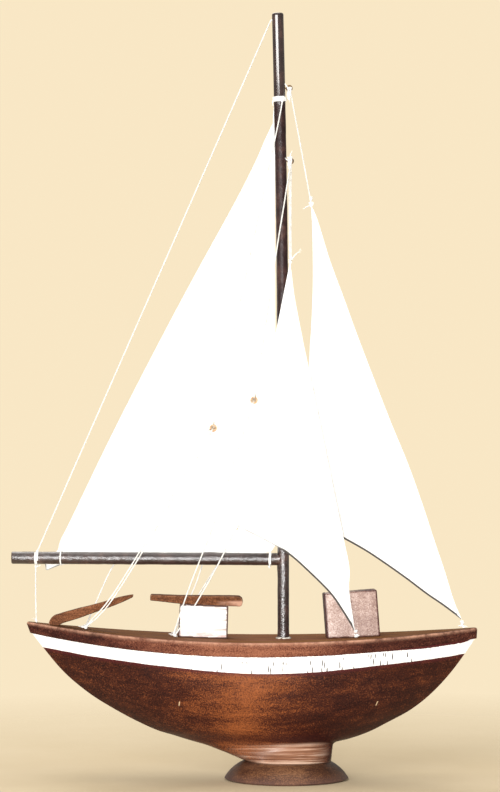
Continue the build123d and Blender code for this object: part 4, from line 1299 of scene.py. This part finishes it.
# name: route from its upper end, and the body that it rides on, or "blend" for a string from the boom
#  down to the deck, which is left in place on no body
STRINGS = {
    "topping_lift": ([(-8.4, 0, 605.5), (-12.0, 0, 605.3), (-13.6, 0, 601.4), (-106.0, 0, 391.0),
                      (-198.4, 0, 181.2)], "boom"),
    "stern_leash": ([(-199.6, 0, 168.6), (-199.9, -0.3, 147.0), (-199.2, 0, 126.4)], "blend"),
    "upper_line_aft": ([(-3.2, -5.8, 539.2), (-6.2, -5.5, 522.0), (-10.6, -3.7, 503.0), (-34.0, 0.4, 393.0),
                        AFT_NEAR], "boom"),
    "upper_line_fore": ([(3.2, -1.4, 489.0), (0.8, -5.0, 474.0), (-2.8, -5.9, 451.0), (-7.2, -5.2, 425.0),
                         (-16.0, -1.4, 364.0), FORE_NEAR], "boom"),
    "aft_leg_near": ([AFT_NEAR, (-87.6, -2.4, 230.0), (-114.7, -BOOM_SIDE_Y, 182.0), (-139.3, -7.3, 142.6),
                      (-151.8, -8.0, 128.4), (DECK_AFT_X, -DECK_AFT_Y, 121.4)], "blend"),
    "aft_leg_far": ([AFT_NEAR, AFT_FAR, (-64.0, 9.3, 271.4), (-105.0, 8.2, 221.0), (-138.4, 8.4, 171.0),
                     (-150.5, 8.4, 143.6), (DECK_AFT_X, DECK_AFT_Y, 121.4)], "blend"),
    "fore_leg_near": ([FORE_NEAR, (-42.0, -1.7, 251.5), (-57.5, -5.0, 203.0), (-69.7, -7.0, 172.0),
                       (-80.6, -10.6, 144.0), (DECK_FORE_X - 0.8, -DECK_FORE_Y, 115.4)], "blend"),
    "fore_leg_far": ([FORE_NEAR, FORE_FAR, (-28.8, 9.3, 291.6), (-52.0, 8.4, 218.0), (-66.6, 8.8, 171.0),
                      (-74.6, 11.0, 147.4), (DECK_FORE_X - 0.8, DECK_FORE_Y, 115.4)], "blend"),
    "staysail_sheet_near": ([(-39.6, -8.6, 201.0), (-53.6, -8.4, 171.5), (-70.6, -10.6, 142.0),
                             (-79.9, -12.2, 127.4), (DECK_FORE_X + 0.8, -DECK_FORE_Y, 115.4)], "root"),
    "staysail_sheet_far": ([(-39.2, -6.6, 200.4), (-39.6, 1.0, 199.8), (-40.2, 10.9, 198.4),
                            (-44.6, 10.9, 188.0), (-54.6, 9.4, 170.4), (-68.6, 11.0, 148.4),
                            (DECK_FORE_X + 0.8, DECK_FORE_Y, 115.4)], "blend"),
    "jib_halyard": ([(3.6, -0.4, 546.0), (12.0, 0.1, 501.0), (19.7, 0.3, 459.4)], "root"),
}
HALYARD_STRANDS = [
    [(3.8, 0.2, 488.6), (3.5, -2.8, 452.0), (3.8, -5.6, 414.0)],
    [(2.4, -0.1, 488.8), (2.2, -3.3, 450.0), (2.7, -6.0, 414.2)],
]
DOUBLED = {"aft_leg_near": 1.0}      # half the distance between its two strings


def line_length(line):
    return sum((b - a).length for a, b in zip(line, line[1:])) * MM


def beside(line, reach):
    """The line moved sideways by reach, apart from its ends."""
    last = len(line) - 1
    moved = []
    for i, point in enumerate(line):
        run = line[min(i + 1, last)] - line[max(i - 1, 0)]
        across = Vector((-run.z, 0, run.x)).normalized()
        moved.append(point + across * reach * smooth_step(0, 0.06, i / last) * smooth_step(1, 0.94, i / last))
    return moved


def build_string(name, node, route, hold):
    line = even(spline_line(route), 1.5)
    shape = Shape()
    if name in DOUBLED:
        twisted(shape, beside(line, -DOUBLED[name]))
        twisted(shape, beside(line, DOUBLED[name]))
    else:
        twisted(shape, line)
    thing = shape.add(name + "_twisted")
    dress(thing, STRING_LINE)
    if hold == "blend":
        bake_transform(thing)
    else:
        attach(thing, hold)
    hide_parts(node)
    path = [p * MM for p in line]
    line_length(line)


def build_strings():
    for name, (route, hold) in STRINGS.items():
        build_string(name, name, route, hold)
    for letter, route in zip("ab", HALYARD_STRANDS):
        build_string("staysail_halyard_" + letter, "staysail_halyard", route, "root")


def build_tied(name, body, node, *parts, material=STRING_COTTON):
    """One piece of knots, windings, stitches and loose ends. A part is a function and its values."""
    shape = Shape()
    for add_part, *values in parts:
        add_part(shape, *values)
    stand_in(shape.add(name), material, "string", body, *([node] if node else []))


def deck_knot(x, y):
    centre, side = (x, y, deck_z(x) + 1.75), copysign(1, y)
    return [(overhand, centre, 0.56, (20 * side, 10, 40 * side)),
            (tail, centre, (-0.7, side * 0.5, 0.05), 3.6, 2.6),
            (tail, centre, (0.5, side * 0.8, 0.1), 3.0, 2.4)]


def line_knot(x, z):
    return [(overhand, (x, NEAR_FACE_Y + 0.1, z), 0.6, (90, 25, 0)),
            (tail, (x, NEAR_FACE_Y - 0.6, z), (-0.8, -0.25, -0.45), 3.2, 2.6),
            (tail, (x + 0.4, NEAR_FACE_Y - 0.4, z + 0.8), (0.2, -0.3, 1.0), 2.2, 2.0)]


def build_knots():
    ends = [(x, side * y) for x, y in ((DECK_FORE_X, DECK_FORE_Y), (DECK_AFT_X, DECK_AFT_Y))
            for side in (-1, 1)]
    build_tied("deck_knots_tied", "root", "deck_knots", *(part for end in ends for part in deck_knot(*end)))
    leash = (-199.2, 0, deck_z(-199.2) + 1.6)
    build_tied("stern_leash_knot_tied", "root", "stern_leash_knot",
               (overhand, leash, 0.5, (0, 70, 20), 0.42), (tail, leash, (-0.5, -0.4, 0.6), 2.6, 2.6))
    build_tied("line_knots_tied", "boom", "line_knots",
               *(part for eyelet in (EYELET_AFT, EYELET_FORE) for part in line_knot(*eyelet)),
               material=STRING_TAN)
    build_tied("staysail_clew_knot_tied", "root", "staysail_clew_knot",
               (overhand, (-39.8, -8.7, 201.7), 0.58, (80, 10, 30)),
               (tail, (-40.4, -8.9, 202.6), (-0.62, -0.15, 0.85), 6.0, 4.0))
    build_tied("staysail_head_knot_tied", "root", "staysail_head_knot",
               (overhand, (3.1, -5.9, 412.4), 0.6, (85, 0, 60)),
               (tail, (4.4, -6.2, 413.5), (0.50, -0.1, 0.95), 7.5, 5.0))
    build_tied("jib_head_knot_tied", "root", "jib_head_knot",
               (overhand, (19.8, 0.3, 458.0), 0.62, (80, 0, 10)),
               (winding, (19.7, 0.3, 462.5), (0.0, 0, 1), 0.9, 2.2),
               (tail, (18.6, -0.4, 456.6), (-0.75, -0.2, -0.25), 3.4, 2.6))
    staysail_tack = (55.2, -15.0, deck_z(55.2) + 1.7)
    build_tied("staysail_tack_tie_tied", "root", "staysail_tack_tie",
               (overhand, staysail_tack, 0.56, (30, 20, 0)),
               (winding, (54.9, -15.0, 118.6), (0.2, 0, 1), 0.95, 2.0),
               (tail, staysail_tack, (0.8, -0.35, 0.1), 2.0, 1.6))
    jib_tack = (140.8, 0, deck_z(140.8) + 2.0)
    build_tied("jib_tack_tie_tied", "root", "jib_tack_tie",
               (overhand, jib_tack, 0.62, (20, 25, 50)),
               (winding, (140.2, 0, 124.6), (-0.3, 0, 1), 1.05, 2.4),
               (tail, jib_tack, (-0.9, -0.2, 0.2), 2.4, 1.6), (tail, jib_tack, (-0.8, 0.2, 0.0), 2.4, 1.6),
               (tail, jib_tack, (0.6, -0.3, 0.0), 2.4, 1.6))


WOUND_R = 0.62              # a winding's middle stands off its spar by this


def round_boom(x, *values):
    """Winding round the boom."""
    along = (BOOM_END[0] - MAST_X, 0, BOOM_END[1] - BOOM_MAST_Z)
    return (winding, (x, 0, boom_z(x)), along, BOOM_R + WOUND_R, *values)


def build_windings():
    whipping_x = mast_x(WHIPPING_Z)
    build_tied("mast_whipping_wound", "root", "mast_whipping",
               (winding, (whipping_x, 0, WHIPPING_Z), (-0.019, 0, 1), MAST_R + 0.52, 3.6, 0.98, 1.0),
               (overhand, (-3.4, -5.9, 540.4), 0.5, (85, 0, 20), 0.42),
               (tail, (whipping_x - 5.2, -1.2, 540.4), (-0.35, -0.5, -0.8), 2.6, 2.4))
    under_end = (-199.6, 0, boom_z(-199.6) - BOOM_R - 1.9)
    build_tied("boom_end_lashing_wound", "boom", "boom_end_lashing",
               round_boom(-198.9, 2.2, 1.02, 0.4, 0.25),
               (overhand, under_end, 0.5, (0, 80, 0), 0.42),
               (tail, under_end, (0.8, -0.2, -0.1), 2.2, 2.0))
    build_tied("clew_lashing_wound", "boom", "clew_lashing",
               round_boom(-179.5, 1.15, 0.9, 2.2, 0.3),
               (twisted, spline_line([(-179.5, 4.6, 180.0), (-179.5, 6.2, 178.6), (-179.5, 8.4, 177.6),
                                      (-179.3, 8.6, 175.0), (-179.3, 6.3, 172.6)])),
               (overhand, (-179.5, 8.7, 177.4), 0.4, (90, 0, 0), 0.36))
    build_tied("tack_lashing_wound", "boom", "tack_lashing",
               round_boom(-13.0, 1.35, 0.9, 0.0, 0.35),
               (overhand, (-13.6, 0.4, boom_z(-13.0) - BOOM_R - 1.3), 0.42, (0, 60, 0), 0.36))
    build_tied("mainsail_head_tie_tied", "boom", "mainsail_head_tie",
               (twisted, spline_line([(-10.2, MAINSAIL_Y, 519.8), (-10.2, 5.9, 529.6), (-9.2, 4.2, 539.0)])),
               (overhand, (-10.2, MAINSAIL_Y - 0.2, 520.4), 0.4, (80, 0, 0), 0.36))
    build_tied("jib_clew_tie_tied", "root", "jib_clew_tie",
               (winding, (MAST_X, 0, 206.0), (0, 0, 1), MAST_R + WOUND_R, 2.1, 1.0, 0.5),
               (twisted, spline_line([(13.8, 3.5, 207.6), (8.6, 3.0, 207.0), (3.4, 2.0, 206.2)])),
               (overhand, (14.0, 3.5, 207.6), 0.42, (80, 0, 0), 0.36))


def eye_tie(x, z):
    """Bight of string through a screw eye."""
    return [(winding, (x, -0.8, z - 3.6), (0.12, 0, 1), 1.35, 3.4, 1.0),
            (overhand, (x + 0.3, -1.6, z + 0.2), 0.72, (85, 0, 30), 0.5),
            (overhand, (x - 0.2, -1.4, z - 6.4), 0.56, (85, 0, 110), 0.45)]


def build_eye_ties():
    build_tied("screw_eye_ties", "root", None, *eye_tie(2.2, 549.0), *eye_tie(2.7, 493.6),
               (tail, (1.2, -1.4, 550.4), (-0.5, -0.4, 0.8), 2.2, 2.2),
               (tail, (2.4, -1.8, 542.2), (0.25, -0.4, -0.9), 2.2, 2.2),
               (tail, (3.0, -1.4, 495.6), (0.1, -0.2, 1.0), 2.4, 2.6),
               (tail, (1.6, -1.6, 492.6), (-0.9, -0.3, 0.2), 2.2, 2.0))


# ---------------------------------------------------------------- glue
GLUE_INNER_R = 4.3
GLUE_PROFILE = [(6.3, -0.1), (6.1, 0.35), (5.7, 0.7), (5.2, 1.0), (4.8, 1.2), (4.4, 1.1)]   # radius, height


def build_glue():
    """Uneven bead of glue round the foot of the mast."""
    rings = []
    for radius, height in GLUE_PROFILE:
        ring = []
        for a in angles(48):
            wave = 1 + 0.09 * sin(3 * a + 0.6) + 0.05 * sin(7 * a)
            r = GLUE_INNER_R + (radius - GLUE_INNER_R) * wave
            x = MAST_X + r * cos(a)
            ring.append(Vector((x, r * sin(a), deck_z(x) + height * (1 + 0.25 * sin(2 * a + 1.0)))))
        rings.append(ring)
    stand_in(Shape().rings(rings).add("mast_glue_bead"), GLUE, "glue", "root", "mast_glue")


# ---------------------------------------------------------------- floor, light and camera
FLOOR_Z = -0.05
WARM = (1.0, 0.97, 0.92)
CAMERA_PLACE, CAMERA_LENS = (-0.0289, -2.5, 0.305), 142.6       # it looks level, along +Y


def build_floor():
    shape = Shape()
    shape.rings([[Vector((r * cos(a), r * sin(a), FLOOR_Z)) for a in angles(96)]
                 for r in (1.0, 300.0, 900.0)])
    shape.faces.pop()       # the outer ring's cap
    floor = shape.add("floor")
    n = Nodes("floor")
    n.finish(Base_Color=n.wander(9.0, 3.0, (0.62, 0.51, 0.34), (0.66, 0.55, 0.38)), Roughness=0.8,
             Specular_IOR_Level=0.1)
    floor.data.materials.append(n.material)
    place = n.value("ShaderNodeTexCoord", "Object")
    away = n.value("ShaderNodeVectorMath", "Value", {0: place}, operation="LENGTH")
    shaded, clear = Value(n, n.out.outputs[0]), n.value("ShaderNodeBsdfTransparent", 0)
    surface = n.value("ShaderNodeMixShader", 0, {0: n.band(away, 0.16, 0.75), 1: shaded, 2: clear})
    n.put(n.tree.nodes["Material Output"].inputs["Surface"], surface)


def area_light(name, place, target, size, power, colour=(1, 1, 1)):
    data = bpy.data.lights.new(name, "AREA")
    data.shape = "RECTANGLE"
    data.size, data.size_y = size
    data.energy = power
    data.color = colour
    lamp = bpy.data.objects.new(name, data)
    lamp.location = place
    lamp.rotation_mode = "QUATERNION"
    lamp.rotation_quaternion = (Vector(target) - Vector(place)).to_track_quat("-Z", "Y")
    bpy.context.scene.collection.objects.link(lamp)


def build_world():
    """Pale warm surroundings. The backdrop is bright, and what it adds to the light is softer."""
    world = bpy.data.worlds.new("studio")
    bpy.context.scene.world = world
    world.use_nodes = True
    tree = world.node_tree
    seen = tree.nodes["Background"]
    seen.inputs[0].default_value = (0.947, 0.80, 0.56, 1.0)
    seen.inputs[1].default_value = 1.0
    glow = tree.nodes.new("ShaderNodeBackground")
    glow.inputs[0].default_value = (1.0, 0.93, 0.82, 1.0)
    glow.inputs[1].default_value = 0.34
    path = tree.nodes.new("ShaderNodeLightPath")
    mix = tree.nodes.new("ShaderNodeMixShader")
    tree.links.new(path.outputs["Is Camera Ray"], mix.inputs[0])
    tree.links.new(glow.outputs[0], mix.inputs[1])
    tree.links.new(seen.outputs[0], mix.inputs[2])
    tree.links.new(mix.outputs[0], tree.nodes["World Output"].inputs["Surface"])


def build_camera():
    camera = bpy.data.cameras.new("camera")
    camera.lens = CAMERA_LENS
    camera.sensor_width = 36.0
    holder = bpy.data.objects.new("camera", camera)
    holder.location = CAMERA_PLACE
    holder.rotation_euler = (pi / 2, 0, 0)
    bpy.context.scene.collection.objects.link(holder)
    bpy.context.scene.camera = holder
    view = bpy.context.scene.view_settings
    view.view_transform = "Standard"
    view.look = "None"


# ---------------------------------------------------------------- make everything
dress_node("foot", FOOT_STAIN)
dress_node("foot_screws", STEEL)
dress_node("mast_screw_eyes", BRASS)
dress_node("sail_eyelets", BRASS_PALE)

build_hull()
build_deck_board()
worn_copy("cabin_block", CABIN_PAINT, "cabin_paint", 0.45, 6, sharp=(0.05, 0.13))
worn_copy("roof_plank", TRIM_STAIN, "trim_stain", 0.45, 8, wear_reach=4)
worn_copy("bow_block", WORN_STAIN, "worn_stain", 0.5, 6, sharp=(0.05, 0.14))
worn_copy("tiller_stick", TRIM_STAIN, "trim_stain", 0.4, 8, wear_reach=4)
build_mast()
build_boom()
build_mainsail()
build_headsails()
build_strings()
build_knots()
build_windings()
build_eye_ties()
build_glue()

build_floor()
build_world()
area_light("window", (-1.15, -2.15, 1.03), (0, 0, 0.45), (2.2, 0.50), 42.0, (1.0, 0.98, 0.95))
area_light("flash", (-0.04, -2.5, 0.29), (0, 0, 0.25), (0.4, 0.16), 50.0)
area_light("fill", (-0.10, -2.5, -0.02), (0, 0, 0.25), (0.5, 0.20), 16.0)
area_light("top", (0.0, 0.2, 2.7), (0, 0, 0.3), (2.2, 2.2), 34.0, WARM)
area_light("back", (-0.6, 2.0, 2.2), (0, 0, 0.3), (1.4, 1.4), 26.0, WARM)
build_camera()
